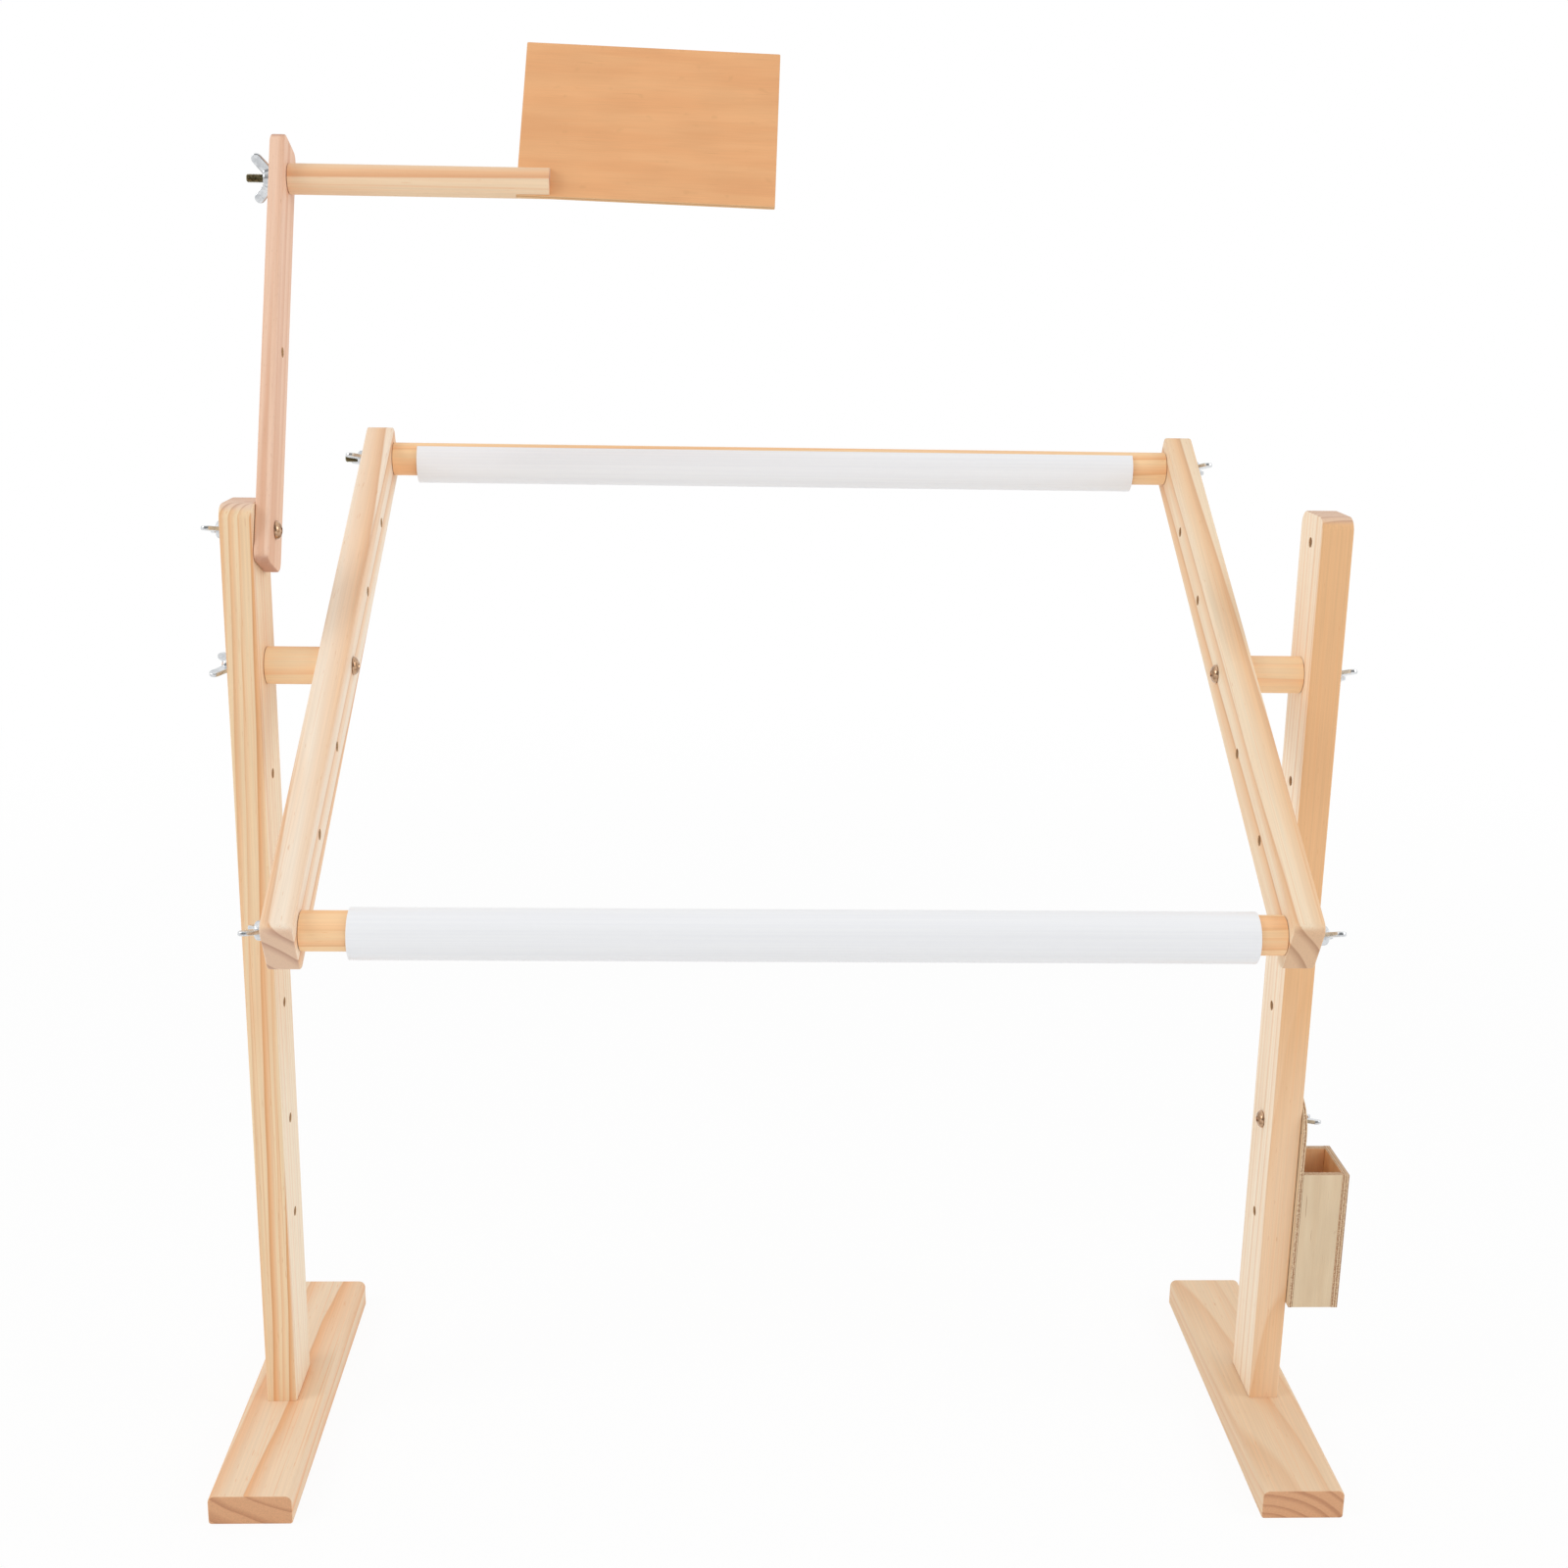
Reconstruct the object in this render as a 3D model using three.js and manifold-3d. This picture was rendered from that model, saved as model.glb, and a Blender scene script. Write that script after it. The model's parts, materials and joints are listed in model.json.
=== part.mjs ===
// Floor-standing scroll frame for needlework.
// Two posts on flat feet carry a frame that tilts between them. The frame has two side rails and
// two rods that roll the cloth, each with a clip-on channel for the cloth's edge. An arm on the
// left post holds a board for the pattern, and a small box for tools hangs on the right post.
// Millimetres: X to the right, Y away from the person stitching, Z up, floor at Z = 0.

import * as THREE from 'three';
import { mergeVertices } from 'three/addons/utils/BufferGeometryUtils.js';
import Module from 'manifold-3d';

const wasm = await Module();
wasm.setup();

// Frame: side rails and the rods between them
const roomBetweenRails = 600;
const railThickness = 20;
const railDepth = 41;
const railEnd = 17;
const rightRailFrontEnd = 13;
const railHolePitch = 80;
const railHolesEachSide = 3;
const railCorner = 7;
const frameTilt = 30.3;
const rodDiameter = 25;

// Spacers between the rails and the posts
const spacerLength = 38;
const spacerDiameter = 26;

// Posts, with their holes measured down from the top
const postThickness = 22;
const postDepth = 50;
const postLength = 668;
const postCorner = 10;
const armHoleBelowTop = 20;
const pivotBelowTop = 113;
const boxHoleBelowTop = 450;
const spareHolesBelowTop = [190, 275, 360, 525];

// Feet
const footLength = 300;
const footWidth = 58;
const footInset = 2;
const footThickness = 22;
const footFrontReach = 144;
const footTopEdge = 5;
const footBottomEdge = 2;

// Pattern arm, its holder dowel and the board
const armThickness = 10;
const armWidth = 40;
const armHoles = 3;
const armHolePitch = 125;
const armEnd = 26;
const armCorner = 8;
const armTilt = 22.5;
const holderLength = 180;
const holderDiameter = 21;
const boardWidth = 180;
const boardHeight = 123;
const boardThickness = 4;
const boardCorner = 2;
const boardTilt = 30.5;
const boardDroop = 1.9;
const slotDepth = 23;

// Tool box
const plyThickness = 5;
const plateThickness = 3;
const boxRoomWidth = 29;
const boxDepth = 50;
const boxHeight = 108;
const boxTopBelowBolt = 31;
const boxAheadOfBolt = 5;

// Cloth channels; the mouth's turn is measured from straight back, up being positive
const channelPlay = 4;
const channelWall = 1.6;
const channelMouth = 114;
const bareRod = 47;
const frontChannelShift = 6;
const rearChannelShift = -4;
const rearChannelLift = 2;
const frontMouthTurn = -40;
const rearMouthTurn = 70;

// Six millimetre bolts and studs, with how far each one stands out past the face its nut bears on
const boltDiameter = 6;
const holeDiameter = 6.6;
const headDiameter = 13;
const headHeight = 4;
const recessWidth = 1.6;
const recessSpan = 6.4;
const recessDepth = 2;
const pivotBoltReach = 8.5;
const armBoltReach = 8.5;
const boxBoltReach = 9;
const studGrip = 30;
const studReach = 8;
const rearLeftStudReach = 17;
const holderStudReach = 19;

// Wing nuts, and how far up from level the wing nearest the stitcher was left pointing
const nutPlay = 0.1;
const nutBossDiameter = 13.2;
const nutBossTopDiameter = 10.8;
const nutFlange = 1.2;
const nutBossHeight = 7;
const wingSpan = 34;
const wingHeight = 14.5;
const wingThickness = 3;
const wingWidth = 7.5;
const wingEdge = 0.5;
const wingRises = {
  pivot: { left: -12, right: 25 },
  front: { left: 15, right: 26 },
  rear: { left: 13, right: 16 },
  arm: 15,
  holder: 74,
  box: 12,
};

// Wood screws from under the feet into the posts
const screwDiameter = 4;
const screwLength = 50;
const screwHeadDiameter = 8;
const screwSpacing = 30;
const screwPlay = 0.2;

// Gaps between touching pieces, and the eased edges of planed wood
const seatGap = 0.3;
const glueGap = 0.1;
const easedEdge = 1.2;
const sharpEdge = 0.5;
const rodEdge = 1;

// Facets on round pieces
const rodSides = 32;
const boltSides = 16;
const cornerSteps = 3;
const cornerFacet = 4;
const headSteps = 4;
const cutOvershoot = 1;
const sameSpot = 1e-4;

// Places that follow from the sizes above
const railInner = roomBetweenRails / 2;
const railOuter = railInner + railThickness;
const postInner = railOuter + seatGap + spacerLength + seatGap;
const postOuter = postInner + postThickness;
const postMiddle = (postInner + postOuter) / 2;
const postTop = footThickness + postLength;
const pivotHeight = postTop - pivotBelowTop;
const armHoleHeight = postTop - armHoleBelowTop;
const boxHoleHeight = postTop - boxHoleBelowTop;
const rodPlace = railHolePitch * railHolesEachSide;
const SIDES = { left: -1, right: 1 };

const degrees = THREE.MathUtils.degToRad;

// Materials
const FINISHES = {
  pine: { color: '#e9cda4', roughness: 0.6, metalness: 0 },
  dowelWood: { color: '#e6b987', roughness: 0.55, metalness: 0 },
  armWood: { color: '#e3b48f', roughness: 0.55, metalness: 0 },
  boardPly: { color: '#d9a673', roughness: 0.6, metalness: 0 },
  boxPly: { color: '#cfbc96', roughness: 0.7, metalness: 0 },
  zinc: { color: '#c9ccd0', roughness: 0.3, metalness: 1 },
  yellowZinc: { color: '#8d8462', roughness: 0.4, metalness: 1 },
  channelPlastic: { color: '#e9e9ea', roughness: 0.35, metalness: 0 },
};

// Closed mesh to solid, and back again
function solidOf(geometry) {
  const bare = geometry.clone();
  bare.deleteAttribute('normal');
  bare.deleteAttribute('uv');
  const merged = mergeVertices(bare, sameSpot);
  const index = merged.index.array;
  const triangles = [];
  for (let i = 0; i < index.length; i += 3) {
    const [a, b, c] = [index[i], index[i + 1], index[i + 2]];
    if (a !== b && b !== c && c !== a) triangles.push(a, b, c);
  }
  return new wasm.Manifold(new wasm.Mesh({
    numProp: 3,
    vertProperties: new Float32Array(merged.attributes.position.array),
    triVerts: new Uint32Array(triangles),
  }));
}

function geometryOf(solid) {
  const mesh = solid.getMesh();
  const geometry = new THREE.BufferGeometry();
  geometry.setAttribute('position', new THREE.BufferAttribute(mesh.vertProperties, 3));
  geometry.setIndex(new THREE.BufferAttribute(mesh.triVerts, 1));
  return geometry;
}

// One named piece, made of a body, what is joined to it and what is cut from it
function piece(name, finish, body, { join = [], cut = [] } = {}) {
  let solid = solidOf(body);
  for (const extra of join) solid = solid.add(solidOf(extra));
  for (const tool of cut) solid = solid.subtract(solidOf(tool));
  const faceted = geometryOf(solid).toNonIndexed();
  faceted.computeVertexNormals();
  const mesh = new THREE.Mesh(faceted, new THREE.MeshStandardMaterial(FINISHES[finish]));
  mesh.name = name;
  return mesh;
}

// Round bar along X from x0 to x1, with eased ends
function barAlongX(x0, x1, diameter, { sides = boltSides, edge = 0 } = {}) {
  const radius = diameter / 2;
  const low = Math.min(x0, x1);
  const high = Math.max(x0, x1);
  const profile = [[0, low], [radius - edge, low]];
  if (edge > 0) profile.push([radius, low + edge], [radius, high - edge]);
  profile.push([radius - edge, high], [0, high]);
  return turnedAlongX(profile, sides);
}

// Profile of [radius, place along X] pairs turned about the X axis
function turnedAlongX(profile, sides) {
  const points = profile.map(([radius, along]) => new THREE.Vector2(radius, along));
  const geometry = new THREE.LatheGeometry(points, sides);
  geometry.rotateZ(-Math.PI / 2);
  return geometry;
}

// Rectangle from (x0, y0) to (x1, y1) with a radius for each corner, lower left first, anticlockwise
function roundedRectangle(x0, y0, x1, y1, radii) {
  const corners = [
    [x0, y0, 1, 1, Math.PI], [x1, y0, -1, 1, Math.PI * 1.5],
    [x1, y1, -1, -1, 0], [x0, y1, 1, -1, Math.PI / 2],
  ];
  const points = [];
  corners.forEach(([x, y, inX, inY, start], place) => {
    const radius = radii[place];
    const steps = radius > 0 ? Math.max(cornerSteps, Math.round(radius / cornerFacet)) : 0;
    for (let step = 0; step <= steps; step += 1) {
      const angle = start + (step / Math.max(steps, 1)) * (Math.PI / 2);
      points.push(new THREE.Vector2(
        x + radius * (inX + Math.cos(angle)), y + radius * (inY + Math.sin(angle))));
    }
  });
  return new THREE.Shape(points.filter((point, i) => (
    point.distanceTo(points[(i + 1) % points.length]) > sameSpot)));
}

// Shape in the Y, Z plane given a thickness from x0 to x1, with eased edges
function plateAcrossX(shape, x0, x1, edge) {
  const thickness = Math.abs(x1 - x0);
  const geometry = new THREE.ExtrudeGeometry(shape, {
    depth: thickness - 2 * edge,
    curveSegments: cornerSteps,
    bevelEnabled: edge > 0,
    bevelThickness: edge,
    bevelSize: edge,
    bevelOffset: -edge,
    bevelSegments: 1,
  });
  geometry.translate(0, 0, edge);
  geometry.applyMatrix4(new THREE.Matrix4().makeBasis(
    new THREE.Vector3(0, 1, 0), new THREE.Vector3(0, 0, 1), new THREE.Vector3(1, 0, 0)));
  geometry.translate(Math.min(x0, x1), 0, 0);
  return geometry;
}

// Plank standing in the Y, Z plane
function plank(x0, x1, y0, z0, y1, z1, radii, edge = easedEdge) {
  return plateAcrossX(roundedRectangle(y0, z0, y1, z1, radii), x0, x1, edge);
}

function boreAcross(x0, x1, y, z, diameter = holeDiameter) {
  const bore = barAlongX(Math.min(x0, x1) - cutOvershoot, Math.max(x0, x1) + cutOvershoot, diameter);
  bore.translate(0, y, z);
  return bore;
}

// Pan head, its seat at x = 0 and its crown towards -X
function headProfile() {
  const profile = [];
  for (let step = 0; step <= headSteps; step += 1) {
    const angle = (step / headSteps) * (Math.PI / 2);
    profile.push([(headDiameter / 2) * Math.sin(angle), -headHeight * Math.cos(angle)]);
  }
  profile.push([0, 0]);
  return profile;
}

// Bolt with a cross recess, its seat at x = 0 and its shank running towards +X
function boltPiece(name, length) {
  const head = turnedAlongX(headProfile(), boltSides);
  const shank = barAlongX(-headHeight / 2, length, boltDiameter, { edge: sharpEdge });
  const recess = [
    new THREE.BoxGeometry(recessDepth * 2, recessSpan, recessWidth),
    new THREE.BoxGeometry(recessDepth * 2, recessWidth, recessSpan),
  ];
  for (const bar of recess) bar.translate(-headHeight, 0, 0);
  return piece(name, 'yellowZinc', head, { join: [shank], cut: recess });
}

// Wing nut seated at x on one side, in a group that leans back by the angle given
function wingNut(name, side, x, rise, leanBack) {
  const boss = turnedAlongX([
    [0, 0], [nutBossDiameter / 2, 0], [nutBossDiameter / 2, nutFlange],
    [nutBossTopDiameter / 2, nutBossHeight], [0, nutBossHeight],
  ], boltSides);
  const wings = [0, Math.PI].map((turn) => wingPlate().rotateX(turn));
  const bore = boreAcross(0, wingHeight, 0, 0, boltDiameter + 2 * nutPlay);
  const mesh = piece(name, 'zinc', boss, { join: wings, cut: [bore] });
  mesh.rotation.x = Math.PI / 2 - side * degrees(rise + leanBack);
  return onSide(mesh, side, x);
}

// One wing: a slanting tongue with a round tip, drawn with u outwards and v along the bolt
function wingPlate() {
  const tip = wingWidth / 2;
  const centre = new THREE.Vector2(wingSpan / 2 - tip, wingHeight - tip);
  const root = new THREE.Vector2(nutBossTopDiameter / 4, tip);
  const slant = Math.atan2(centre.y - root.y, centre.x - root.x);
  const shape = new THREE.Shape();
  shape.moveTo(root.x + tip * Math.sin(slant), root.y - tip * Math.cos(slant));
  shape.absarc(centre.x, centre.y, tip, slant - Math.PI / 2, slant + Math.PI / 2, false);
  shape.lineTo(root.x - tip * Math.sin(slant), root.y + tip * Math.cos(slant));
  const wing = new THREE.ExtrudeGeometry(shape, {
    depth: wingThickness - 2 * wingEdge,
    curveSegments: 2 * cornerSteps,
    bevelThickness: wingEdge,
    bevelSize: wingEdge,
    bevelOffset: -wingEdge,
    bevelSegments: 1,
  });
  wing.translate(0, 0, wingEdge - wingThickness / 2);
  wing.applyMatrix4(new THREE.Matrix4().makeBasis(
    new THREE.Vector3(0, 0, 1), new THREE.Vector3(1, 0, 0), new THREE.Vector3(0, 1, 0)));
  return wing;
}

// Places a piece made towards +X on the left or the right side
function onSide(mesh, side, x) {
  const holder = new THREE.Group();
  holder.position.x = x;
  if (side < 0) holder.rotation.y = Math.PI;
  holder.add(mesh);
  return holder;
}

function turnedGroup(y, z, leanBack, children) {
  const group = new THREE.Group();
  group.position.set(0, y, z);
  group.rotation.x = degrees(leanBack);
  group.add(...children);
  return group;
}

// Stand: feet, posts, the screws that join them, and the spacers
function foot(name, side) {
  const x0 = side * (postMiddle - footInset) - footWidth / 2;
  const shape = roundedRectangle(x0, 0, x0 + footWidth, footThickness,
    [footBottomEdge, footBottomEdge, footTopEdge, footTopEdge]);
  const body = new THREE.ExtrudeGeometry(shape, {
    depth: footLength - 2 * easedEdge,
    curveSegments: cornerSteps,
    bevelThickness: easedEdge,
    bevelSize: easedEdge,
    bevelOffset: -easedEdge,
    bevelSegments: 1,
  });
  body.rotateX(Math.PI / 2);
  body.translate(0, footLength - easedEdge - footFrontReach, 0);
  return piece(name, 'pine', body, { cut: screwPlaces().map((y) => screwHole(side, y)) });
}

function screwPlaces() {
  return [-screwSpacing / 2, screwSpacing / 2];
}

function screwProfile(grow) {
  const shank = screwDiameter / 2 + grow;
  const head = screwHeadDiameter / 2 + grow;
  const point = screwDiameter;
  const reach = screwLength + 2 * grow;
  return [[0, 0], [head, 0], [shank, head - shank], [shank, reach - point], [0, reach]];
}

function screwShape(grow, side, y) {
  const screw = turnedAlongX(screwProfile(grow), boltSides);
  screw.rotateY(-Math.PI / 2);
  screw.translate(side * postMiddle, y, glueGap - grow);
  return screw;
}

function screwHole(side, y) {
  return screwShape(screwPlay, side, y);
}

function post(name, side) {
  const half = postDepth / 2;
  const body = plank(side * postInner, side * postOuter, -half, footThickness + glueGap, half, postTop,
    [0, 0, postCorner, postCorner]);
  const drops = [armHoleBelowTop, pivotBelowTop, boxHoleBelowTop, ...spareHolesBelowTop];
  const holes = drops.map((drop) => boreAcross(side * postInner, side * postOuter, 0, postTop - drop));
  return piece(name, 'pine', body, { cut: [...holes, ...screwPlaces().map((y) => screwHole(side, y))] });
}

function spacer(name, side) {
  const inner = railOuter + seatGap;
  const body = barAlongX(side * inner, side * (inner + spacerLength), spacerDiameter,
    { sides: rodSides, edge: rodEdge });
  const mesh = piece(name, 'dowelWood', body, {
    cut: [boreAcross(side * inner, side * (inner + spacerLength), 0, 0)],
  });
  mesh.position.z = pivotHeight;
  return mesh;
}

function standPieces() {
  const pieces = [];
  for (const [word, side] of Object.entries(SIDES)) {
    pieces.push(foot(`foot_${word}`, side), post(`post_${word}`, side), spacer(`spacer_${word}`, side));
    screwPlaces().forEach((y, place) => {
      const spot = place === 0 ? 'front' : 'rear';
      pieces.push(piece(`foot_screw_${word}_${spot}`, 'zinc', screwShape(0, side, y)));
    });
  }
  return pieces;
}

// Frame: rails, pivot bolts, rods with their studs, and the cloth channels
function rail(name, side, frontEnd) {
  const half = railDepth / 2;
  const body = plank(side * railInner, side * railOuter, -rodPlace - frontEnd, -half,
    rodPlace + railEnd, half, [railCorner, railCorner, railCorner, railCorner]);
  const holes = [];
  for (let step = -railHolesEachSide; step <= railHolesEachSide; step += 1) {
    holes.push(boreAcross(side * railInner, side * railOuter, step * railHolePitch, 0));
  }
  return piece(name, 'pine', body, { cut: holes });
}

function roller(word, place, reaches, cloth) {
  const end = railInner - seatGap;
  const bores = Object.values(SIDES).map((side) => (
    boreAcross(side * (end - studGrip), side * end, 0, 0)));
  const rod = piece(`${word}_rod`, 'dowelWood',
    barAlongX(-end, end, rodDiameter, { sides: rodSides, edge: rodEdge }), { cut: bores });
  const parts = [rod, cloth];
  for (const [hand, side] of Object.entries(SIDES)) {
    const bar = barAlongX(end - studGrip, railOuter + reaches[hand], boltDiameter, { edge: sharpEdge });
    parts.push(onSide(piece(`${word}_stud_${hand}`, 'yellowZinc', bar), side, 0));
    parts.push(wingNut(`${word}_wing_nut_${hand}`, side, side * (railOuter + seatGap),
      wingRises[word][hand], frameTilt));
  }
  return turnedGroup(place, 0, 0, parts);
}

// Cloth channel: a pipe with a mouth along it, drawn with the mouth towards +Y
function channel(name, shift, mouthTurn, sag) {
  const inner = rodDiameter / 2 + channelPlay / 2;
  const outer = inner + channelWall;
  const half = degrees(channelMouth / 2);
  const lip = channelWall / 2;
  const lipPlace = new THREE.Vector2((inner + lip) * Math.cos(half), (inner + lip) * Math.sin(half));
  const shape = new THREE.Shape();
  shape.absarc(0, 0, outer, half, 2 * Math.PI - half, false);
  shape.absarc(lipPlace.x, -lipPlace.y, lip, -half, Math.PI - half, false);
  shape.absarc(0, 0, inner, 2 * Math.PI - half, half, true);
  shape.absarc(lipPlace.x, lipPlace.y, lip, half + Math.PI, half, false);
  const length = roomBetweenRails - bareRod;
  const body = new THREE.ExtrudeGeometry(shape, {
    depth: length, curveSegments: rodSides / 2, bevelEnabled: false,
  });
  body.applyMatrix4(new THREE.Matrix4().makeBasis(
    new THREE.Vector3(0, 1, 0), new THREE.Vector3(0, 0, 1), new THREE.Vector3(1, 0, 0)));
  body.translate(shift - length / 2, 0, 0);
  body.rotateX(degrees(mouthTurn));
  body.translate(0, sag.x, sag.y);
  body.rotateX(-degrees(frameTilt));
  return piece(name, 'channelPlastic', body);
}

// How far off the rod's middle a channel sits, back and up: one with its mouth down hangs by its top
function hungByTop() {
  return new THREE.Vector2(0, seatGap - channelPlay / 2);
}

// One with its mouth up hangs by its two lips, or grips the rod that much higher
function hungByLips(mouthTurn, lift) {
  const inner = rodDiameter / 2 + channelPlay / 2;
  const half = degrees(channelMouth / 2);
  const clear = rodDiameter / 2 + seatGap;
  const lipRise = Math.sqrt(Math.max(0, clear ** 2 - (inner * Math.sin(half)) ** 2));
  const turn = degrees(mouthTurn);
  return new THREE.Vector2(Math.cos(turn), Math.sin(turn))
    .multiplyScalar(lipRise - inner * Math.cos(half) + lift);
}

function framePieces() {
  const parts = [];
  const railFrontEnds = { left: railEnd, right: rightRailFrontEnd };
  const boltLength = postOuter - railInner + seatGap + pivotBoltReach;
  for (const [word, side] of Object.entries(SIDES)) {
    parts.push(rail(`side_rail_${word}`, side, railFrontEnds[word]));
    parts.push(onSide(boltPiece(`pivot_bolt_${word}`, boltLength), side, side * (railInner - seatGap)));
    parts.push(wingNut(`pivot_wing_nut_${word}`, side, side * (postOuter + seatGap),
      wingRises.pivot[word], frameTilt));
  }
  parts.push(roller('front', -rodPlace, { left: studReach, right: studReach },
    channel('front_clip', frontChannelShift, frontMouthTurn, hungByTop())));
  parts.push(roller('rear', rodPlace, { left: rearLeftStudReach, right: studReach },
    channel('rear_clip', rearChannelShift, rearMouthTurn, hungByLips(rearMouthTurn, rearChannelLift))));
  return parts;
}

// Pattern arm on the left post, with the holder dowel and the board at its top
function patternArm() {
  const outer = -(postInner - seatGap);
  const inner = outer + armThickness;
  const half = armWidth / 2;
  const top = (armHoles - 1) * armHolePitch;
  const body = plank(outer, inner, -half, -armEnd, half, top + armEnd,
    [armCorner, armCorner, armCorner, armCorner]);
  const steps = Array.from({ length: armHoles }, (_, step) => step);
  const holes = steps.map((step) => boreAcross(outer, inner, 0, step * armHolePitch));
  const boltLength = postOuter + inner + seatGap + armBoltReach;
  return turnedGroup(0, armHoleHeight, -armTilt, [
    piece('pattern_arm', 'armWood', body, { cut: holes }),
    onSide(boltPiece('arm_bolt', boltLength), SIDES.left, inner + seatGap),
    wingNut('arm_wing_nut', SIDES.left, -(postOuter + seatGap), wingRises.arm, -armTilt),
    holder(outer, inner + seatGap, top),
  ]);
}

function holder(armOuter, x0, height) {
  const x1 = x0 + holderLength;
  const slotWidth = boardThickness + 2 * seatGap;
  const slotEnd = slotDepth + 2 * seatGap;
  const slot = new THREE.BoxGeometry(2 * slotEnd, slotWidth, 2 * holderDiameter);
  slot.translate(x1, 0, 0);
  const dowel = piece('holder_dowel', 'dowelWood',
    barAlongX(x0, x1, holderDiameter, { sides: rodSides, edge: rodEdge }),
    { cut: [slot, boreAcross(x0, x0 + studGrip, 0, 0)] });
  const stud = piece('holder_stud', 'yellowZinc',
    barAlongX(x0 + studGrip, armOuter - holderStudReach, boltDiameter, { edge: sharpEdge }));
  const nut = wingNut('holder_wing_nut', SIDES.left, armOuter - seatGap, wingRises.holder, -boardTilt);
  return turnedGroup(0, height, armTilt - boardTilt, [dowel, stud, nut, board(x1)]);
}

function board(dowelEnd) {
  const half = boardThickness / 2;
  const low = -holderDiameter / 2;
  const shape = roundedRectangle(0, low, boardWidth, low + boardHeight,
    [boardCorner, boardCorner, boardCorner, boardCorner]);
  const body = new THREE.ExtrudeGeometry(shape, {
    depth: boardThickness - 2 * sharpEdge,
    curveSegments: cornerSteps,
    bevelThickness: sharpEdge,
    bevelSize: sharpEdge,
    bevelOffset: -sharpEdge,
    bevelSegments: 1,
  });
  body.rotateX(Math.PI / 2);
  body.translate(0, half - sharpEdge, 0);
  const mesh = piece('pattern_board', 'boardPly', body);
  mesh.position.x = dowelEnd - slotDepth;
  mesh.rotation.y = degrees(boardDroop);
  return mesh;
}

// Tool box on the outside of the right post, hung on one bolt through its back plate
function toolBox() {
  const front = -boxDepth / 2 - boxAheadOfBolt;
  const rear = front + boxDepth;
  const top = -boxTopBelowBolt;
  const bottom = top - boxHeight;
  const plateIn = postOuter + seatGap;
  const plateOut = plateIn + plateThickness;
  const roomIn = plateOut + glueGap;
  const roomOut = roomIn + boxRoomWidth;
  const sideIn = roomOut + glueGap;
  const sharp = [0, 0, 0, 0];
  const round = boxDepth / 2;
  const plate = plank(plateIn, plateOut, front, bottom, rear, round, [0, 0, round, round],
    sharpEdge);
  const panel = (name, y0, z0, y1, z1) => piece(name, 'boxPly',
    plank(roomIn, roomOut, y0, z0, y1, z1, sharp, sharpEdge));
  const parts = [
    piece('box_back_plate', 'boxPly', plate, { cut: [boreAcross(plateIn, plateOut, 0, 0)] }),
    panel('box_front', front, bottom, front + plyThickness, top),
    panel('box_rear', rear - plyThickness, bottom, rear, top),
    panel('box_bottom', front + plyThickness + glueGap, bottom,
      rear - plyThickness - glueGap, bottom + plyThickness),
    piece('box_side', 'boxPly',
      plank(sideIn, sideIn + plyThickness, front, bottom, rear, top, sharp, sharpEdge)),
    onSide(boltPiece('box_bolt', plateOut - postInner + seatGap + boxBoltReach), SIDES.right,
      postInner - seatGap),
    wingNut('box_wing_nut', SIDES.right, plateOut + seatGap, wingRises.box, 0),
  ];
  return turnedGroup(0, boxHoleHeight, 0, parts);
}

const assembly = new THREE.Group();
assembly.add(...standPieces());
assembly.add(turnedGroup(0, pivotHeight, frameTilt, framePieces()));
assembly.add(patternArm());
assembly.add(toolBox());

// Origin on the floor, midway between the outermost points
assembly.updateMatrixWorld(true);
const reach = new THREE.Box3().setFromObject(assembly, true);
const middle = reach.getCenter(new THREE.Vector3());
assembly.position.set(-middle.x, -middle.y, 0);

const group = new THREE.Group();
group.add(assembly);

export default group;
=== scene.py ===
import json
import math
from functools import partial

import bpy
from mathutils import Matrix, Vector

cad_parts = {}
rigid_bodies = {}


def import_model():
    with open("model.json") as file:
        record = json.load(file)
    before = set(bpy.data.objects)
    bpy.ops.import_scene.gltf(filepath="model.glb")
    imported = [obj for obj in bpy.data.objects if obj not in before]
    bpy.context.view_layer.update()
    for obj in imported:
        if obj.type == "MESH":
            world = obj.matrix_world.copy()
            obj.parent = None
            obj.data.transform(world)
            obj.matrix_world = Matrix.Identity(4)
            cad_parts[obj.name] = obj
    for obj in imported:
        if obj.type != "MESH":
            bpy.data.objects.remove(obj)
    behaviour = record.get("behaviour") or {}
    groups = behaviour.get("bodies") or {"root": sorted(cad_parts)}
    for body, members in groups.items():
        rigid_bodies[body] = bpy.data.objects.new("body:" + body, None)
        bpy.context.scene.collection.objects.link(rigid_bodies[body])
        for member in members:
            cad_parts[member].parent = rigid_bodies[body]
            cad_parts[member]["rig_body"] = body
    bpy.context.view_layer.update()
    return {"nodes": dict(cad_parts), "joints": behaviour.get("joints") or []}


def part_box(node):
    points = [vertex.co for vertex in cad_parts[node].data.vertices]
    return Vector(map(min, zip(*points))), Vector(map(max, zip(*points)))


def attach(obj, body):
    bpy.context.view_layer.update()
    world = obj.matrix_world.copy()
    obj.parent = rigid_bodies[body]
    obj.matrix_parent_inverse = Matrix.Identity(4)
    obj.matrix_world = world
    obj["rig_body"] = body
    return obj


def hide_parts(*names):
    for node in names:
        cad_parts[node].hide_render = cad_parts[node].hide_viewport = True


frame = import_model()
nodes = frame["nodes"]
pivots = {joint["name"]: Vector(joint["pos_m"]) for joint in frame["joints"] if "pos_m" in joint}

MM = 0.001
X_AXIS = Vector((1, 0, 0))
Y_AXIS = Vector((0, 1, 0))
Z_AXIS = Vector((0, 0, 1))

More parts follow.
